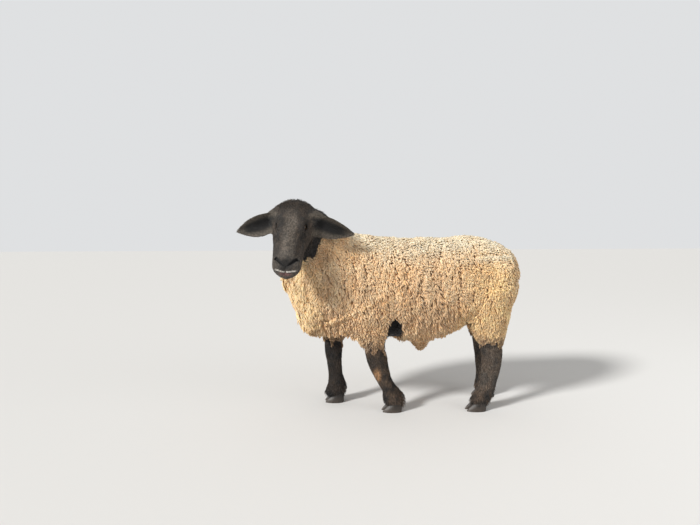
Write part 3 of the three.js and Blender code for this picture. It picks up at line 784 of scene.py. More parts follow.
def bare_shaded_hollows(points):
    """Share of the hollow behind the near elbow and of the fold before the near thigh, which are left bare
    and black as painted shade.
    """
    elbow = ease(0.22, 0.40, bell(points, [-68, -100, 336], [44, 140, 92]))
    return np.maximum(elbow, ease(0.25, 0.5, bell(points, [246, -146, 378], [26, 60, 38])))


def nearly_bare(points, normals):
    """Share of bareness: in those hollows, where bare black skin is painted shade, under the brisket and in
    the groin.
    """
    under = ease(-0.35, -0.75, normals[:, 2])
    brisket = ease(0.25, 0.45, bell(points, [-250, -10, 320], [130, 100, 60])) * under
    groin = ease(0.30, 0.55, bell(points, [330, 0, 400], [80, 70, 70])) * under
    return np.maximum(bare_shaded_hollows(points), np.maximum(brisket, groin))


def wool_cover(points, normals, owner):
    """1 where wool grows and 0 where hair does. The edges wander by a soft noise."""
    wander = ripple(points * [1, 1, 0.2], 0.040)
    cover = np.ones(len(points))
    for index, name in enumerate(PART_NAMES):
        mine = owner == index
        if name.startswith(("head", "ear")):
            cover[mine] = 0
        elif "leg" in name:
            edge = WOOL_FROM["fore" if "fore" in name else "hind"] + 11 * MM * wander[mine]
            cover[mine] = ease(-4 * MM, 4 * MM, points[mine, 2] - edge)
    behind = HAIR_BEHIND_HEAD * (1 + 0.4 * ease(0.0, 0.8, normals[:, 2]))
    off_head = outside_part(SKIN["head"], points) - behind - 5 * MM * wander
    cover = np.minimum(cover, ease(-5 * MM, 5 * MM, off_head))
    return np.minimum(cover, 1 - nearly_bare(points, normals))

# %% Colours by place
CREAM, PALE, GOLD = linear(236, 196, 152), linear(238, 222, 192), linear(250, 207, 148)
DUST_AND_UNDERSIDE_SHADE, DEEP, STRAW = linear(192, 158, 122), linear(112, 88, 68), linear(250, 212, 160)
BLACK, BROWN, GREY = linear(21, 19, 19), linear(70, 57, 46), linear(112, 104, 95)
TAN, PINK, LIP = linear(162, 124, 88), linear(122, 88, 74), linear(104, 72, 70)
PALE_LIP, EAR_PALE = linear(206, 200, 192), linear(96, 88, 78)


def fleece_colour(points, normals):
    """Cream, paler along the back, golden on the haunch, straw on the chest, dusty on the flank,
    stained along the belly, a little darker low down, and darker where it faces down, which is painted shade."""
    up, along = normals[:, 2], points * THROUGH
    back = ease(0.3, 0.95, up)
    haunch = sum(bell(points, [330, side, 560], [120, 120, 130]) for side in (-190, 190))
    chest = ease(0.1, 0.6, -normals[:, 0]) * ease(-0.25, -0.40, points[:, 0])
    thigh = ease(0.15, 0.25, points[:, 0]) * ease(0.50, 0.42, points[:, 2])
    flank = bell(along, [70, 0, 470], [190, 100, 90]) * (1 - back) \
        + 0.5 * bell(along, [-260, 0, 560], [100, 100, 130])
    # painted shade: the fleece darkens where it faces down; it also darkens a little below 0.42 m
    below = ease(0.42, 0.30, points[:, 2]) * 0.05 + 0.2 * ease(0.1, -0.6, up)
    stained = ease(0.345, 0.295, points[:, 2] + 0.012 * ripple(points, 0.03)) \
        * ease(0.1, -0.02, np.abs(up) - 0.5) * ease(0.02, 0.045, np.abs(points[:, 1]))
    return np.clip(layered(
        CREAM, (PALE, 0.85 * back + 0.10 * ripple(points, 0.16)),
        (GOLD, np.clip(0.8 * haunch + 0.7 * thigh, 0, 0.85) * (1 - back)),
        (STRAW, np.clip(0.8 * chest + 0.5 * thigh, 0, 1)),
        (DUST_AND_UNDERSIDE_SHADE, np.clip(0.55 * flank + below + 0.20 * ripple(points, 0.09), 0, 1)),
        (DEEP, 0.75 * stained)), 0.01, 1)


def hair_colour(points, normals):
    """Black, brown on the shins, tan on one knee, grey on the hocks, pale at the edge of the lip, and
    mottled on the face; dark nose leather between the nostrils. Painted light as well: a grey
    highlight along the bridge of the nose, and painted shade on the far foreleg, round the nose and
    nostrils, in the tear hollows and in each ear's hollow."""
    q, along = mirrored(to_head(points)), points * THROUGH
    ahead, beside, up = q.T
    # painted shade: the far foreleg loses its brown and is darkened
    far_foreleg_shade = ease(0.02, 0.04, points[:, 1]) * ease(-0.1, -0.2, points[:, 0])
    shin = ease(0.34, 0.28, points[:, 2]) * (1 - 0.6 * far_foreleg_shade)
    hocks = sum(bell(along, [x, 0, z], [70, 100, 60]) for x, z in ((385, 250), (355, 150)))
    face = ease(0.035, 0.0, outside_part(SKIN["head"], points))
    muzzle = ease(0.215, 0.25, ahead) * ease(-0.03, -0.01, up)
    bridge = ease(34 * MM, 12 * MM, beside) * ease(0.0, 0.10, ahead) * ease(-0.01, 0.02, up) * (1 - muzzle)
    tear = bell(q, [124, 44, 34], [30, 9, 12]) + bell(q, [97, 58, 46], [20, 12, 12])
    mouth = to_chain(q, MOUTH)
    above = ease(0, 2 * MM, up - np.interp(ahead, MOUTH[::-1, 0], MOUTH[::-1, 2]))
    front = face * ease(0.245, 0.268, ahead)
    worn = np.clip(0.9 + 0.2 * ripple(points, 0.012), 0, 1) * ease(0.046, 0.034, beside) \
        * ease(1 * MM, 4 * MM, beside)
    layers = [
        (BROWN, np.clip(shin * (0.62 + 0.4 * ripple(points, 0.06)), 0, 1), 1 - 0.5 * shin * far_foreleg_shade),
        (TAN, np.clip(1.5 * bell(points, [-134, -100, 166], [18, 24, 34]) - 0.2, 0, 0.85)),
        (GREY, 0.36 * np.clip(hocks, 0, 1) * (0.7 + 0.3 * ripple(points, 0.03, 1))),
        (BROWN, face * np.clip(0.30 + 0.16 * ripple(points, 0.05), 0, 1)),
        # grey over the face and muzzle, and a painted grey highlight along the bridge of the nose
        (GREY, face * (0.09 + 0.34 * bridge + 0.16 * muzzle), 1 + 0.2 * face * ripple(points, 0.011, 2)),
        # dark nose leather between the nostrils, made darker still as painted shade
        (BLACK * 0.6, face * np.clip(1.4 * bell(q, [262, 0, 28], [20, 26, 26]), 0, 0.9)),
        # painted shade in the tear hollow in front of each eye and round the eye
        (BLACK * 0.4, face * np.clip(tear, 0, 0.95)),
        # painted shade in and round the nostril grooves
        (BLACK * 0.3, face * ease(3.5 * MM, 0, to_chain(q, NOSTRIL))),
        (PALE_LIP, front * above * ease(9.5 * MM, 7 * MM, mouth) * worn * 0.9),
        (LIP, front * (1 - above) * ease(13 * MM, 6 * MM, mouth) * ease(0.028, 0.012, beside) * 0.8),
        (BLACK * 0.4, face * ease(2.4 * MM, 1.2 * MM, mouth))]
    for sideways in (1, -1):
        place = to_ear(sideways, points)
        _, half, rise = over_leaf(place)
        t, edge = place[:, 0] / EAR_LENGTH, np.abs(place[:, 1] / half)
        on_ear = ease(-0.02, 0.12, t) * ease(1.3, 1.1, edge) * ease(0.04, 0.02, np.abs(rise))
        # painted shade: the inside of each ear's cup is darkened towards black
        hollow = ease(0.80, 0.30, edge) * (rise > 0) * ease(0.95, 0.70, t)
        layers += [(EAR_PALE, 0.6 * on_ear), (BLACK * 0.4, on_ear * hollow)]
    pink = nearly_bare(points, normals) * ease(-0.2, -0.6, normals[:, 2])
    # the hollows behind the near elbow and before the near thigh stay black, painted shade
    return layered(BLACK, *layers, (PINK, pink * (1 - bare_shaded_hollows(points))))

# %% Materials
def set_inputs(tree, node, inputs):
    """Give each input of a node its number, or the output that feeds it."""
    for key, value in inputs.items():
        if isinstance(value, bpy.types.NodeSocket):
            tree.links.new(value, node.inputs[key])
        else:
            node.inputs[key].default_value = value


def add_node(tree, kind, inputs=None, **settings):
    """A new shader node with its settings and its inputs."""
    node = tree.nodes.new("ShaderNode" + kind)
    for key, value in settings.items():
        setattr(node, key, value)
    set_inputs(tree, node, inputs or {})
    return node


def noise_on(tree, uv_name, scale, stretch=(1, 1, 1), detail=3):
    """Noise in object space, or laid on one of the piece's own maps, stretched first."""
    place = add_node(tree, "UVMap", uv_map=uv_name).outputs["UV"] if uv_name \
        else add_node(tree, "TexCoord").outputs["Object"]
    place = add_node(tree, "Mapping", {"Vector": place, "Scale": stretch}).outputs["Vector"]
    return add_node(tree, "TexNoise", {"Vector": place, "Scale": scale, "Detail": detail}).outputs["Fac"]


# A noise is its map, scale, stretch and detail. A look is numbers on the shader's own sockets; a
# noise and the least and greatest it multiplies the painted colour by; and the noises that are
# summed into a bump, with its strength and depth.
FIBRES, CRIMP = ("lock", 1, (15, 1.6, 1)), ("lock", 1, (1.5, 14, 1), 1)
STREAKS, GRAIN = (None, 170), (None, 500, (1, 1, 0.2))
LOOKS = {
    "wool": ({"Roughness": 0.95, "Sheen Weight": 0.18, "Sheen Roughness": 0.6, "Specular IOR Level": 0.1,
              "Subsurface Weight": 0.4, "Subsurface Scale": 0.004, "Subsurface Radius": (1.0, 0.9, 0.8)},
             (FIBRES, 0.84, 1.30), ([FIBRES, CRIMP], 1.0, 0.0028)),
    "dark_hair": ({"Roughness": 0.6, "Sheen Weight": 0.1, "Sheen Roughness": 0.4, "Specular IOR Level": 0.3},
                  (STREAKS, 0.4, 1.8), ([STREAKS], 0.7, 0.0008)),
    "hide": ({"Roughness": 0.62, "Sheen Weight": 0.08, "Specular IOR Level": 0.3},
             (STREAKS, 0.4, 1.8), ([("OFBake", 1, (130, 1500, 1))], 1.0, 0.0014)),
    "eye": ({"Roughness": 0.25, "Coat Weight": 1.0, "Coat Roughness": 0.03}, ((None, 300), 0.9, 1.1), None),
    "horn": ({"Roughness": 0.5}, (GRAIN, 0.75, 1.2), ([GRAIN], 0.5, 0.0008)),
    "floor": ({"Roughness": 0.9, "Base Color": (0.68, 0.68, 0.675, 1)}, None, None),
}
NOISE_LOW, NOISE_HIGH = 0.3, 0.7  # most of the noise lies between these


def make_material(name, sockets, paint, relief):
    """The material of one look. Its base colour is the vertex colour times the spread noise."""
    material = bpy.data.materials.new(name)
    material.use_nodes = True
    tree, made = material.node_tree, {}
    shader = tree.nodes["Principled BSDF"]
    set_inputs(tree, shader, sockets)
    for noise in ([paint[0]] if paint else []) + (relief[0] if relief else []):
        made[noise] = made.get(noise) or noise_on(tree, *noise)
    if paint:
        spread = add_node(tree, "MapRange", {"Value": made[paint[0]], "From Min": NOISE_LOW,
                                             "From Max": NOISE_HIGH, "To Min": paint[1], "To Max": paint[2]})
        painted = {0: add_node(tree, "Attribute", attribute_name="tint").outputs["Color"],
                   "Scale": spread.outputs["Result"]}
        scaled = add_node(tree, "VectorMath", painted, operation="SCALE")
        set_inputs(tree, shader, {"Base Color": scaled.outputs["Vector"]})
    if relief:
        height = made[relief[0][0]]
        for noise in relief[0][1:]:
            height = add_node(tree, "Math", {0: height, 1: made[noise]}).outputs[0]
        bump = add_node(tree, "Bump", {"Height": height, "Strength": relief[1], "Distance": relief[2]})
        set_inputs(tree, shader, {"Normal": bump.outputs["Normal"]})
    return material


MATERIALS = {name: make_material(name, *look) for name, look in LOOKS.items()}

# %% The skin as a piece
skin_owner = owners(skin_points)
# the skin under wool is the fleece colour at 0.75, painted shade deep in the fleece
skin_tint = mixed(hair_colour(skin_points, skin_normals) * 0.9,
                  fleece_colour(skin_points, skin_normals) * 0.75,
                  wool_cover(skin_points, skin_normals, skin_owner))
face_middle = skin_points[skin_quads].mean(axis=1)
face_owner = owners(face_middle)
face_turn = np.zeros(len(face_middle))
for index in np.unique(face_owner):
    face_turn[face_owner == index] = on_part(index, face_middle[face_owner == index])[1]
corner_points = skin_points[skin_quads].reshape(-1, 3)
skin_map = unwrapped(corner_points, np.repeat(face_owner, 4), np.repeat(face_turn, 4))
skin = make_mesh("skin", skin_points, [skin_quads], skin_tint, skin_map, MATERIALS["hide"])
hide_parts("trunk", "neck", "head", "lower_jaw", "tail", "ear_left", "ear_right",
            *["upper_leg_" + leg for leg in UPPER_LEGS], *["lower_leg_" + leg for leg in LOWER_LEGS])

# %% [markdown]
# ## Eyes and claws
# An eyeball is a ball with a slight bulge over the iris; a sheep's pupil is a level slot, which
# stays level however the head hangs. A claw is a wedge with a sloping wall, rounded where it meets
# the ground, ringed by its growth. Both are rings of points closed by a fan at each end.

# %% Rings into closed pieces
def ring_quads(count, around):
    """Quads between so many rings of so many points, numbered ring by ring."""
    i, j = np.arange(count - 1)[:, None] * around, np.arange(around)
    k = (j + 1) % around
    return np.stack([i + j, i + k, i + k + around, i + j + around], axis=-1).reshape(-1, 4)


def closed_rings(rings):
    """Points, polygons and map of a closed tube: quads between rings, and a fan round the middle
    of the first and the last, all turned to face out. The map is turn to the right and ring
    upward."""
    count, around = rings.shape[:2]
    points = np.concatenate([rings.reshape(-1, 3), rings[[0, -1]].mean(axis=1)])
    i, j = np.arange(count - 1)[:, None], np.arange(around)
    k, last = (j + 1) % around, (count - 1) * around
    low = np.stack([k, j, np.full(around, len(points) - 2)], axis=1)
    top = np.stack([last + j, last + k, np.full(around, len(points) - 1)], axis=1)
    polygons = [ring_quads(count, around), low, top]

    def at(ring, step):
        """Place on the map at a ring, for every turn or the turn one step further."""
        return np.stack(np.broadcast_arrays((j + step) / around, ring / count), axis=-1)

    maps = [np.stack([at(i, 0), at(i, 1), at(i + 1, 1), at(i + 1, 0)], axis=-2).reshape(-1, 4, 2),
            np.stack([at(0, 1), at(0, 0), at(0, 0)], axis=-2),
            np.stack([at(count - 1, 0), at(count - 1, 1), at(count, 0)], axis=-2)]
    a, b, c = (points[polygons[0][:, m]] - points.mean(axis=0) for m in range(3))
    if (np.cross(a, b) * c).sum() <= 0:
        polygons, maps = [p[:, ::-1] for p in polygons], [m[:, ::-1] for m in maps]
    return points, polygons, np.concatenate([m.reshape(-1, 2) for m in maps])


def turns(count):
    """That many angles, evenly round a circle."""
    return np.arange(count) / count * 2 * np.pi

# %% Eyes
PUPIL_LONG, PUPIL_HIGH, IRIS = 5.6 * MM, 1.9 * MM, 10 * MM
BLACKISH, AMBER, RIM, WHITE = linear(8, 7, 7), linear(78, 50, 25), linear(20, 14, 10), linear(80, 68, 60)
POLE = 0.004  # the first and the last ring's angle from a pole


def eye_surface(sideways):
    """A ball seen from its pole: radius * (1 + 0.05 exp(-(angle / 0.6)^4)), the pole on the gaze.
    The iris is streaked amber, dark at its rim, round a level slot."""
    angle = (POLE + np.linspace(0, 1, 60) ** 1.25 * (math.pi - 2 * POLE))[:, None]
    turn = turns(64)
    gaze = unit((GAZE * [1, sideways, 1]) @ HEAD_AXES)
    level = unit(np.cross(Z_AXIS, gaze))
    radius = EYE_RADIUS * (1 + 0.05 * np.exp(-((angle / 0.6) ** 4)))
    x, y = radius * np.sin(angle) * np.cos(turn), radius * np.sin(angle) * np.sin(turn)
    ball = np.stack([x, y, radius * np.cos(angle) + 0 * turn], axis=-1)
    rings = from_head(EYE * [1, sideways, 1]) + ball @ np.array([level, np.cross(gaze, level), gaze])
    out, front = np.hypot(x, y).ravel(), ball[..., 2].ravel() > 0
    slot = (np.abs(x / PUPIL_LONG) ** 2.6 + np.abs(y / PUPIL_HIGH) ** 2.6).ravel()
    streak = (0.5 + 0.5 * np.sin(turn * 23 + 3 * np.sin(turn * 7)) + 0 * angle).ravel()
    tint = layered(AMBER * 0.55, (AMBER, streak * ease(0, IRIS * 0.7, out)),
                   (RIM, ease(IRIS * 0.82, IRIS, out)),
                   (WHITE * 0.5, ease(IRIS * 1.04, IRIS * 1.25, out)),
                   (BLACKISH, np.where(front, 1 - ease(0.8, 1.15, slot), 0)))
    return rings, np.concatenate([tint, tint[[0, -1]]])


for side_name, sideways in (("left", 1), ("right", -1)):
    rings, tint = eye_surface(sideways)
    points, polygons, uv = closed_rings(rings)
    ball = make_mesh("eyeball_" + side_name, points, polygons, tint, uv, MATERIALS["eye"])
    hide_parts("eye_" + side_name)

# %% Claws and dewclaws
HORN_DARK, HORN_PALE = linear(32, 28, 26), linear(74, 64, 55)
CLAW_POWER, CLAW_TOP = 2.3, 41
GROWTH_RING, GROWTH_SWELL = 4.3 * MM, 0.35 * MM
SOLE_EDGE = np.array([[0, 0.4, 1.2], [1.2, 0.4, 0]]) * MM  # heights, and how far the wall draws in


def claw_surface(centre, inward):
    """Superellipses |x|^2.3 + |y|^2.3 = 1 from the claw's plan. The toe narrows towards the cleft,
    the sole's edge is rounded, and the wall swells a little at each growth ring."""
    height = np.array([0, 0, 0.4, 1.2, *np.linspace(2.5, CLAW_TOP, 22)]) * MM
    plan = even_rows(np.array(CLAW, float) * MM)
    shift, half, back, front = (np.interp(height, plan[:, 0], plan[:, c])[:, None] for c in (2, 3, 4, 5))
    inset = np.interp(height, *SOLE_EDGE)[:, None]
    inset[0] = 7 * MM
    height = height[:, None]
    swell = GROWTH_SWELL * np.sin(height * 2 * np.pi / GROWTH_RING) * (height > 2 * MM) - inset
    round_it = np.array([np.cos(turns(40)), np.sin(turns(40))])
    x, y = np.sign(round_it) * np.abs(round_it) ** (2 / CLAW_POWER)
    toe = np.clip(-x, 0, 1) ** 2
    ahead = shift + x * (np.where(x > 0, back, front) + swell)
    across = y * (half + swell) * (1 - 0.42 * toe) + inward * 3.2 * MM * toe
    return centre + np.stack([ahead, across, height + 0 * x], axis=-1)


def dewclaw_surface(centre):
    """A small blunt cone that points down and back: an egg whose reach shrinks towards its tip."""
    angle, turn = np.linspace(0.05, np.pi - 0.05, 16)[:, None], turns(20)
    rx, ry, rz = DEWCLAW_RADII
    out = np.sin(angle) * (1 - 0.12 * np.cos(angle))
    return centre + np.stack([rx * out * np.cos(turn) + 2 * MM * np.cos(angle), ry * out * np.sin(turn),
                              -rz * np.cos(angle) + 0 * turn], axis=-1)


def horn_piece(name, rings):
    """One piece of horn in place of its solid, paler towards the ground."""
    points, polygons, uv = closed_rings(rings)
    low = ease(rings[..., 2].max(), rings[..., 2].min(), points[:, 2])
    tint = mixed(HORN_DARK, HORN_PALE, 0.55 * low + 0.12 * ripple(points, 0.02, 1))
    piece = make_mesh(name + "_horn", points, polygons, np.clip(tint, 0.005, 1), uv, MATERIALS["horn"])
    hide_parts(name)


for leg, (x, y) in FEET.items():
    for claw_name, sideways in (("inner", -np.sign(y)), ("outer", np.sign(y))):
        claw_at = np.array([x, y + sideways * CLAW_SPREAD, 0]) * MM
        horn_piece(f"hoof_{leg}_{claw_name}", claw_surface(claw_at, -sideways))
        corners = np.array(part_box(f"dewclaw_{leg}_{claw_name}"))
        horn_piece(f"dewclaw_{leg}_{claw_name}", dewclaw_surface(corners.mean(axis=0) - SHIFT))

# %% [markdown]
# ## Roots
# Locks and tufts need roots spread evenly over the skin. Purely random places leave gaps and
# heaps; so many random places are thrown on the skin, space is cut into cubes, and in each cube
# only the place nearest its middle is kept.

# %% Even places on the skin
quad_corners = skin_points[skin_quads]
quad_cross = np.cross(quad_corners[:, 2] - quad_corners[:, 0], quad_corners[:, 3] - quad_corners[:, 1])
quad_area = np.linalg.norm(quad_cross, axis=1) / 2
quad_wool = wool_cover(face_middle, unit(quad_cross), face_owner) > 0.5


def spread_roots(chosen, spacing, tries=9):
    """Places on the chosen quads, about one for each cube of the spacing that the skin crosses,
    with their body parts and the skin's normals there."""
    faces = np.flatnonzero(chosen)
    weight = quad_area[faces] / quad_area[faces].sum()
    count = int(quad_area[faces].sum() / spacing**2 * tries)
    face = rng.choice(faces, count, p=weight)
    a, b = rng.random((2, count, 1))
    p = quad_corners[face]
    places = (p[:, 0] * (1 - a) + p[:, 1] * a) * (1 - b) + (p[:, 3] * (1 - a) + p[:, 2] * a) * b
    cube = np.floor(places / spacing).astype(int)
    off = np.linalg.norm(places / spacing - cube - 0.5, axis=1)
    key = (cube - cube.min(axis=0)) @ np.array([1, 4096, 4096**2])
    order = np.lexsort((off, key))
    kept = order[np.append(True, np.diff(key[order]) != 0)]
    return places[kept], face_owner[face[kept]], unit(slope_of(outside_skin, places[kept]))


def along_skin(direction, normal):
    """A direction laid onto the skin and made a unit long."""
    return unit(across_only(direction, normal))


PATCH = 0.003  # how wide a tuft's patch is on the body's map
MOST_TRIANGLES = 190000  # in one piece


def pieces_of(name, order, roots, points, faces, tints, along, across, material, extra=None):
    """Cut many tufts into equal pieces, in the given order. All tufts have the same polygons, each
    tuft's numbers one step further on, and each is a small patch on the body's map, at the place
    of its root. extra gives a piece of so many tufts its other maps."""
    triangles = sum(len(f) * (f.shape[1] - 2) for f in faces)
    count = math.ceil(len(order) * triangles / MOST_TRIANGLES)
    patch = PATCH * (np.stack([across, along], axis=-1) - 0.5)
    for number, mine in enumerate(np.array_split(order, count)):
        more = extra(len(mine)) if extra else None
        bake = (unwrapped(*(a[mine] for a in roots))[:, None] + patch).reshape(-1, 2)
        step = np.arange(len(mine))[:, None, None] * points.shape[1]
        piece = make_mesh(f"{name}_{number + 1}", points[mine].reshape(-1, 3),
                          [(f + step).reshape(-1, f.shape[1]) for f in faces],
                          tints[mine].reshape(-1, 3), bake, MATERIALS[material], more)
    print(name, "has", len(order), "tufts and", len(order) * triangles, "triangles in", count, "pieces")

# %% [markdown]
# ## The fleece
# A Down fleece is a mass of short locks about a centimetre wide. Each rises from the skin, then
# lies over the next one below and curls under at its tip, so the surface is a soft cobble that
# streaks down the side; along the belly the tips hang free and make a ragged edge. Locks lean
# together into staples, and the fleece parts between them. Particle hair would be lost in the
# export, so each lock is a small closed tube: its line bends over as it rises, and its radius is a
# profile along that line. The whole fleece is one array computation, cut into equal pieces.

# %% Staples
STAPLE = np.array([0.032, 0.032, 0.090])
STAPLES = 4096
staple_jitter = rng.random((STAPLES, 3))
staple_turn, staple_rise = rng.normal(0, 0.24, STAPLES), rng.normal(0, 0.06, STAPLES)


def nearest_staples(points):
    """The nearest middle of a staple with its number, how much farther the second nearest is, and
    the way there: one random middle for each box of a grid as big as a staple, looked for in the
    27 boxes round a point."""
    scaled = points / STAPLE
    steps = np.array([[i, j, k] for i in (-1, 0, 1) for j in (-1, 0, 1) for k in (-1, 0, 1)])
    around = np.floor(scaled).astype(int)[:, None] + steps
    number = (around @ np.array([73, 179, 283])) % STAPLES
    middle = around + staple_jitter[number]
    away = np.linalg.norm(middle - scaled[:, None], axis=2)
    pick, (first, second) = np.arange(len(points)), np.argsort(away, axis=1)[:, :2].T
    return (middle[pick, first] * STAPLE, number[pick, first], away[pick, second] - away[pick, first],
            unit((middle[pick, second] - middle[pick, first]) * STAPLE))

# %% Which way the wool lies
def wool_lie(points, normals, owner):
    """Down and a little back over the trunk, down the neck, straight down on the legs and tail."""
    flow = np.tile([0.26, 0.0, -0.96], (len(points), 1))
    for index, name in enumerate(PART_NAMES):
        if name == "neck":
            flow[owner == index] = -neck_axis * 0.5 + [0, 0, -0.8]
        elif name.startswith("upper_leg") or name in ("tail", "belly_tuft"):
            flow[owner == index] = [0.10, 0, -1]
    return along_skin(flow + 1e-4, normals)

# %% Locks
LOCK_RINGS, LOCK_SIDES = 5, 4
LOCK_SHARE = np.linspace(0, 1, LOCK_RINGS)
LOCK_WIDTH = np.array([1.25, 1.4, 1.25, 0.95, 0.5])
LOCK_ROOT = 3 * MM  # how deep a lock starts under the skin
# share of the length and of a turn, for each point of a lock
SHARE_OF_POINT = np.append(np.repeat(LOCK_SHARE, LOCK_SIDES), 1.05)
TURN_OF_POINT = np.append(np.tile(np.arange(LOCK_SIDES) / LOCK_SIDES, LOCK_RINGS), 0.5)


def lock_faces():
    """A lock's quads, and the triangles of its tip and base."""
    size = len(SHARE_OF_POINT)
    j, top = np.arange(LOCK_SIDES), size - 1 - LOCK_SIDES
    tip = np.stack([top + j, top + (j + 1) % LOCK_SIDES, np.full(LOCK_SIDES, size - 1)], axis=1)
    base = np.stack([0 * j[2:], j[2:], j[1:-1]], axis=1)
    return [ring_quads(LOCK_RINGS, LOCK_SIDES), np.concatenate([tip, base])]


def grow_locks(root, normal, lie, rise, width, turn, bend):
    """Points of all locks, shape (locks, points, 3). A lock's line leaves the skin near the normal,
    eases over to the angle `bend` from it, and hooks under towards the tip. The line is scaled to
    reach the wanted rise. Its radius is a profile from root to blunt tip."""
    count = len(root)
    start = rng.uniform(0.0, 0.35, count)
    hook = rng.uniform(0.6, 1.5, count) * ease(0.4, 1.1, bend)
    yaw = turn + rng.normal(0, 0.28, count)
    twist = rng.normal(0, 0.5, count)
    angle = start[:, None] + (bend - start)[:, None] * ease(0, 0.7, LOCK_SHARE) \
        + hook[:, None] * np.clip((LOCK_SHARE - 0.55) / 0.45, 0, 1) ** 1.5
    angle, heading = angle[..., None], (yaw[:, None] + twist[:, None] * LOCK_SHARE)[..., None]
    ahead = np.cos(heading) * lie[:, None] + np.sin(heading) * np.cross(normal, lie)[:, None]
    normal = normal[:, None]
    tangent = np.cos(angle) * normal + np.sin(angle) * ahead
    line = np.cumsum(tangent, axis=1) - tangent
    scale = rise / np.maximum((line * normal).sum(axis=2).max(axis=1), 1.2)
    line = root[:, None] - LOCK_ROOT * normal + line * scale[:, None, None]
    across = np.cross(normal, ahead)
    turn = turns(LOCK_SIDES)[:, None]
    radius = (width[:, None] * LOCK_WIDTH)[..., None, None]
    rings = line[:, :, None] + radius * (np.cos(turn) * across[:, :, None]
                                         + 0.7 * np.sin(turn) * np.cross(across, tangent)[:, :, None])
    tip = line[:, -1] + tangent[:, -1] * (0.5 * width)[:, None]
    return np.concatenate([rings.reshape(count, -1, 3), tip[:, None]], axis=1)


def streak_map(count):
    """Each lock's own map, round it and along it, moved to a place of its own in the noise."""
    moved = np.stack([rng.random(count) * 9, rng.random(count) * 7], axis=1)
    return {"lock": (moved[:, None] + np.stack([TURN_OF_POINT, SHARE_OF_POINT], axis=1)).reshape(-1, 2)}

# %% Grow the fleece
LOCK_SPACING = 6.8 * MM
# how much more each channel of a lock darkens towards its root, for the painted shade
SHADE_WARMTH = np.array([0.8, 1.1, 1.5])
# how upright the skin's normal is, and how far a lock bends over from it there
BEND_BY_SLOPE = ([-1, -0.5, 0, 0.4, 0.8, 1], [0.25, 0.6, 1.08, 1.05, 1.0, 0.95])
root, root_owner, normal = spread_roots(quad_wool, LOCK_SPACING)
depth = np.clip(-outside_body(root, COAT, 8), 7 * MM, 30 * MM)
staple, staple_number, parting, to_next = nearest_staples(root)
count, up = len(root), normal[:, 2]
lie = wool_lie(root, normal, root_owner)
# share of a parting between staples: the locks there rise less and are darkened as painted shade
shaded_parting = ease(0.20, 0.0, parting) * (1 - (to_next * lie).sum(axis=1) ** 2) * (1 - 0.6 * ease(0.3, 0.9, up))
toward = across_only(across_only(staple - root, normal), lie)
grow_along = unit(normal + 0.22 * np.clip(toward / 0.03, -1, 1))
rise = depth * rng.uniform(0.93, 1.05, count) * (1 - 0.26 * shaded_parting) * (1 + staple_rise[staple_number])
rise = rise * (1 + 0.07 * ripple(root, 0.11, 1.5)) + 1 * MM
rise = rise * (0.6 + 0.4 * ease(0.045, 0.13, outside_part(SKIN["head"], root)))
on_tail = root_owner == TAIL_PART
crease = ease(0.026, 0.006, outside_part(SKIN["tail"], root)) * ~on_tail
rise = rise * np.where(on_tail, 0.8, 1) * (1 - 0.45 * crease)
bend = np.interp(up, *BEND_BY_SLOPE)
bend += (1.3 - bend) * ease(0.2, 0.6, -normal[:, 0]) * ease(-0.2, -0.34, root[:, 0])
rise = rise * np.where(bend < 0.8, rng.uniform(0.75, 1.2, count), 1)
width = rng.uniform(3.1, 4.8, count) * MM * (0.7 + 0.3 * np.clip(depth / 0.02, 0, 1))
width = width * (1 - 0.35 * (root_owner == TUFT_PART))
locks = grow_locks(root, grow_along, along_skin(lie, grow_along), rise, width,
                   staple_turn[staple_number], bend)
# random tone per lock; staples that stand higher are lighter and sunken ones darker, painted light and shade
base = fleece_colour(root, normal) * rng.uniform(0.86, 1.10, (count, 1)) \
    * (1 + staple_rise[staple_number])[:, None]
warm = 1 + rng.normal(0, 0.03, (count, 1)) * [1, 0, -1.2]
# painted shade: each lock is darker and warmer towards its root, deep in the fleece
shade = (0.75 + 0.25 * ease(0.15, 0.8, SHARE_OF_POINT))[:, None] ** SHADE_WARMTH
tint = np.clip((base * warm)[:, None] * shade * (1 - 0.2 * shaded_parting)[:, None, None], 0.005, 1)
pieces_of("fleece", np.argsort(root[:, 0] + 0.002 * root[:, 2]), (root, root_owner), locks, lock_faces(),
          tint, SHARE_OF_POINT, TURN_OF_POINT, "wool", streak_map)

# %% [markdown]
# ## Short hair
# The face, ears and shins carry short dark hair that lies flat. Its grain is bump on the skin, and
# thin tufts break the outline: each is a sliver with three sides, wide near its root, whose tip
# just lifts. They are smallest on the muzzle, longer round the tops of the hooves, and longest behind the
# fetlocks.

# %% Tufts
# root, left, right and top of the widest place, and tip: along, across and out, as shares
SLIVER = np.array([[0, 0, 0], [0.4, 0.5, 0], [0.4, -0.5, 0], [0.4, 0, 1], [1, 0, 0.6]])
SLIVER_FACES = np.array([[0, 1, 2], [4, 2, 1], [0, 2, 3], [0, 3, 1], [4, 3, 2], [4, 1, 3]])
# painted shade at a sliver's root, and a painted highlight on its top and tip
SLIVER_SHADE = np.array([0.7, 0.95, 0.95, 1.15, 1.5])  # darker at the root and paler at the tip
HAIR_SPACING = 4.25 * MM
OFF_LIDS, OFF_LIPS, OFF_NOSTRIL = 4.5 * MM, 3 * MM, 4 * MM  # bare round the openings of the face


def grow_slivers(root, normal, lie, length, width, lift):
    """Each sliver's corners laid along its lie, across it and out from the skin."""
    along, across, out = SLIVER.T[:, None, :, None]
    length, width, lift = (a[:, None, None] for a in (length, width, lift))
    out = out * 0.3 * width + along * lift - 0.5 * MM
    return (root[:, None] + along * length * lie[:, None]
            + across * width * np.cross(normal, lie)[:, None] + out * normal[:, None])


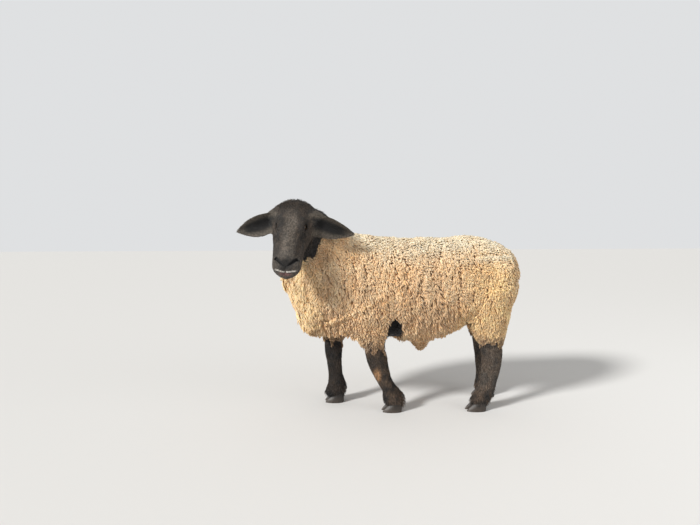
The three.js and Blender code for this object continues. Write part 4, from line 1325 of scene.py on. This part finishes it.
def hair_lie(points, normals, owner):
    """Down the face towards the lips, out along the ears, and down the shins."""
    flow = np.tile([0.12, 0.0, -1.0], (len(points), 1))
    down_face = HEAD_AXES[0] + (to_head(points)[:, 1:2] * 6) * HEAD_AXES[1] - 0.25 * HEAD_AXES[2]
    flow[owner == HEAD_PART] = down_face[owner == HEAD_PART]
    for name, sideways in (("ear_left", 1), ("ear_right", -1)):
        flow[owner == PART_NAMES.index(name)] = ear_axes(sideways)[0] @ HEAD_AXES
    return along_skin(flow + rng.normal(0, 0.16, flow.shape), normals)


root, root_owner, normal = spread_roots(~quad_wool, HAIR_SPACING)
q = mirrored(to_head(root))
off_eye = np.linalg.norm(q - EYE, axis=1)
bare = (off_eye < EYE_RADIUS + OFF_LIDS) | (to_chain(q, MOUTH) < OFF_LIPS)
bare = (bare | (to_chain(q, NOSTRIL) < OFF_NOSTRIL)) & (root_owner == HEAD_PART)
bare |= nearly_bare(root, normal) > rng.uniform(0.1, 1.4, len(root))
root, root_owner, normal, q, off_eye = (a[~bare] for a in (root, root_owner, normal, q, off_eye))
count = len(root)
on_head, on_ear, on_body = root_owner == HEAD_PART, root_owner > HEAD_PART, root_owner < HEAD_PART
near_lips = ease(0.12, 0.27, q[:, 0]) * on_head
near_eye = np.exp(-((off_eye / 0.035) ** 2)) * on_head
length = rng.uniform(8, 11, count) * MM * (1 - 0.45 * near_lips) * (1 - 0.4 * near_eye)
fetlock = on_body * ease(0.15, 0.10, root[:, 2]) * ease(0.1, 0.8, normal[:, 0])
coronet = on_body * ease(0.07, 0.045, root[:, 2])
behind_head = on_body * ease(0.55, 0.60, root[:, 2])
crown = on_head * ease(0.05, -0.02, q[:, 0])
length = length * (1 - 0.3 * on_ear + 0.9 * on_body + 1.2 * fetlock + 0.5 * coronet
                   + 0.3 * behind_head + 0.7 * crown)
width = rng.uniform(1.4, 2.1, count) * MM * (1 - 0.35 * near_lips) * (1 + 0.4 * behind_head)
lift = rng.uniform(0.4, 1.4, count) * MM * (1 - 0.4 * near_lips)
more = 1.8 * on_body + 3.5 * fetlock + 1.5 * behind_head + 2.5 * crown
lift = lift + more * rng.uniform(0.6, 1.3, count) * MM
tufts = grow_slivers(root, normal, hair_lie(root, normal, root_owner), length, width, lift)
base = hair_colour(root, normal) * (rng.uniform(0.7, 1.5, (count, 1))
                                    + (on_body * rng.random(count) ** 3)[:, None])
base[rng.random(count) < 0.02 * bell(q, [24, 4, 58], [14, 10, 20]) * on_head] = linear(180, 176, 168)
tint = np.clip(base[:, None] * SLIVER_SHADE[:, None], 0.003, 1)
pieces_of("hair", np.argsort(root[:, 2]), (root, root_owner), tufts, [SLIVER_FACES], tint,
          SLIVER[:, 0], SLIVER[:, 1] + 0.5, "dark_hair")

# %% [markdown]
# ## The studio
# The sheep stands on a plain pale floor that fades into a pale room. The camera is level with its
# back and looks down a little. A warm sun comes over the camera's left shoulder, a soft lamp fills
# from the right, and the room gives even light from all around.

# %% Camera, lamps and floor
EYE_LEVEL, LOOK_DOWN = 0.80, math.radians(4)


def aimed(item, at, direction):
    """Place a camera or a lamp, and turn it to look along a direction."""
    item.location = at
    item.rotation_euler = Vector(direction).to_track_quat("-Z", "Y").to_euler()
    return item


def lamp(name, kind, power, colour, at, direction, **settings):
    """A lamp that shines along a direction."""
    data = bpy.data.lights.new(name, kind)
    data.energy, data.color = power, colour
    for key, value in settings.items():
        setattr(data, key, value)
    aimed(add_object(name, data), at, direction)


camera_data = bpy.data.cameras.new("camera")
camera_data.sensor_width, camera_data.lens = 36, 27.05
camera_at = np.array([-0.475, -2.268, EYE_LEVEL]) + SHIFT * [1, 1, 0]
camera = aimed(add_object("camera", camera_data), camera_at, (0.1045, 0.9945, -math.tan(LOOK_DOWN)))
bpy.context.scene.camera = camera
lamp("key", "SUN", 4.0, (1, 0.985, 0.955), (0, 0, 0), (0.72, 0.47, -0.51), angle=math.radians(10))
lamp("fill", "AREA", 30, (1, 1, 1), (3.2, -2.2, 2.0), (-3.2, 2.2, -1.5), size=2.5)

world = bpy.data.worlds.new("studio")
bpy.context.scene.world = world
world.use_nodes = True
tree = world.node_tree
pale = tree.nodes["Background"]
set_inputs(tree, pale, {"Color": (0.74, 0.75, 0.76, 1)})
soft = add_node(tree, "Background", {"Color": (1.0, 0.985, 0.96, 1), "Strength": 0.5})
choose = add_node(tree, "MixShader", {"Fac": add_node(tree, "LightPath").outputs["Is Camera Ray"],
                                      1: soft.outputs["Background"], 2: pale.outputs["Background"]})
set_inputs(tree, tree.nodes["World Output"], {"Surface": choose.outputs["Shader"]})

FLOOR_HALF = 15
floor_mesh = bpy.data.meshes.new("floor")
floor_mesh.from_pydata([(x * FLOOR_HALF, y * FLOOR_HALF, 0) for x, y in ((-1, -1), (1, -1), (1, 1), (-1, 1))],
                       [], [(0, 1, 2, 3)])
floor_mesh.materials.append(MATERIALS["floor"])
add_object("floor", floor_mesh)

# %% The colour view, and the end
bpy.context.scene.view_settings.view_transform = "Standard"
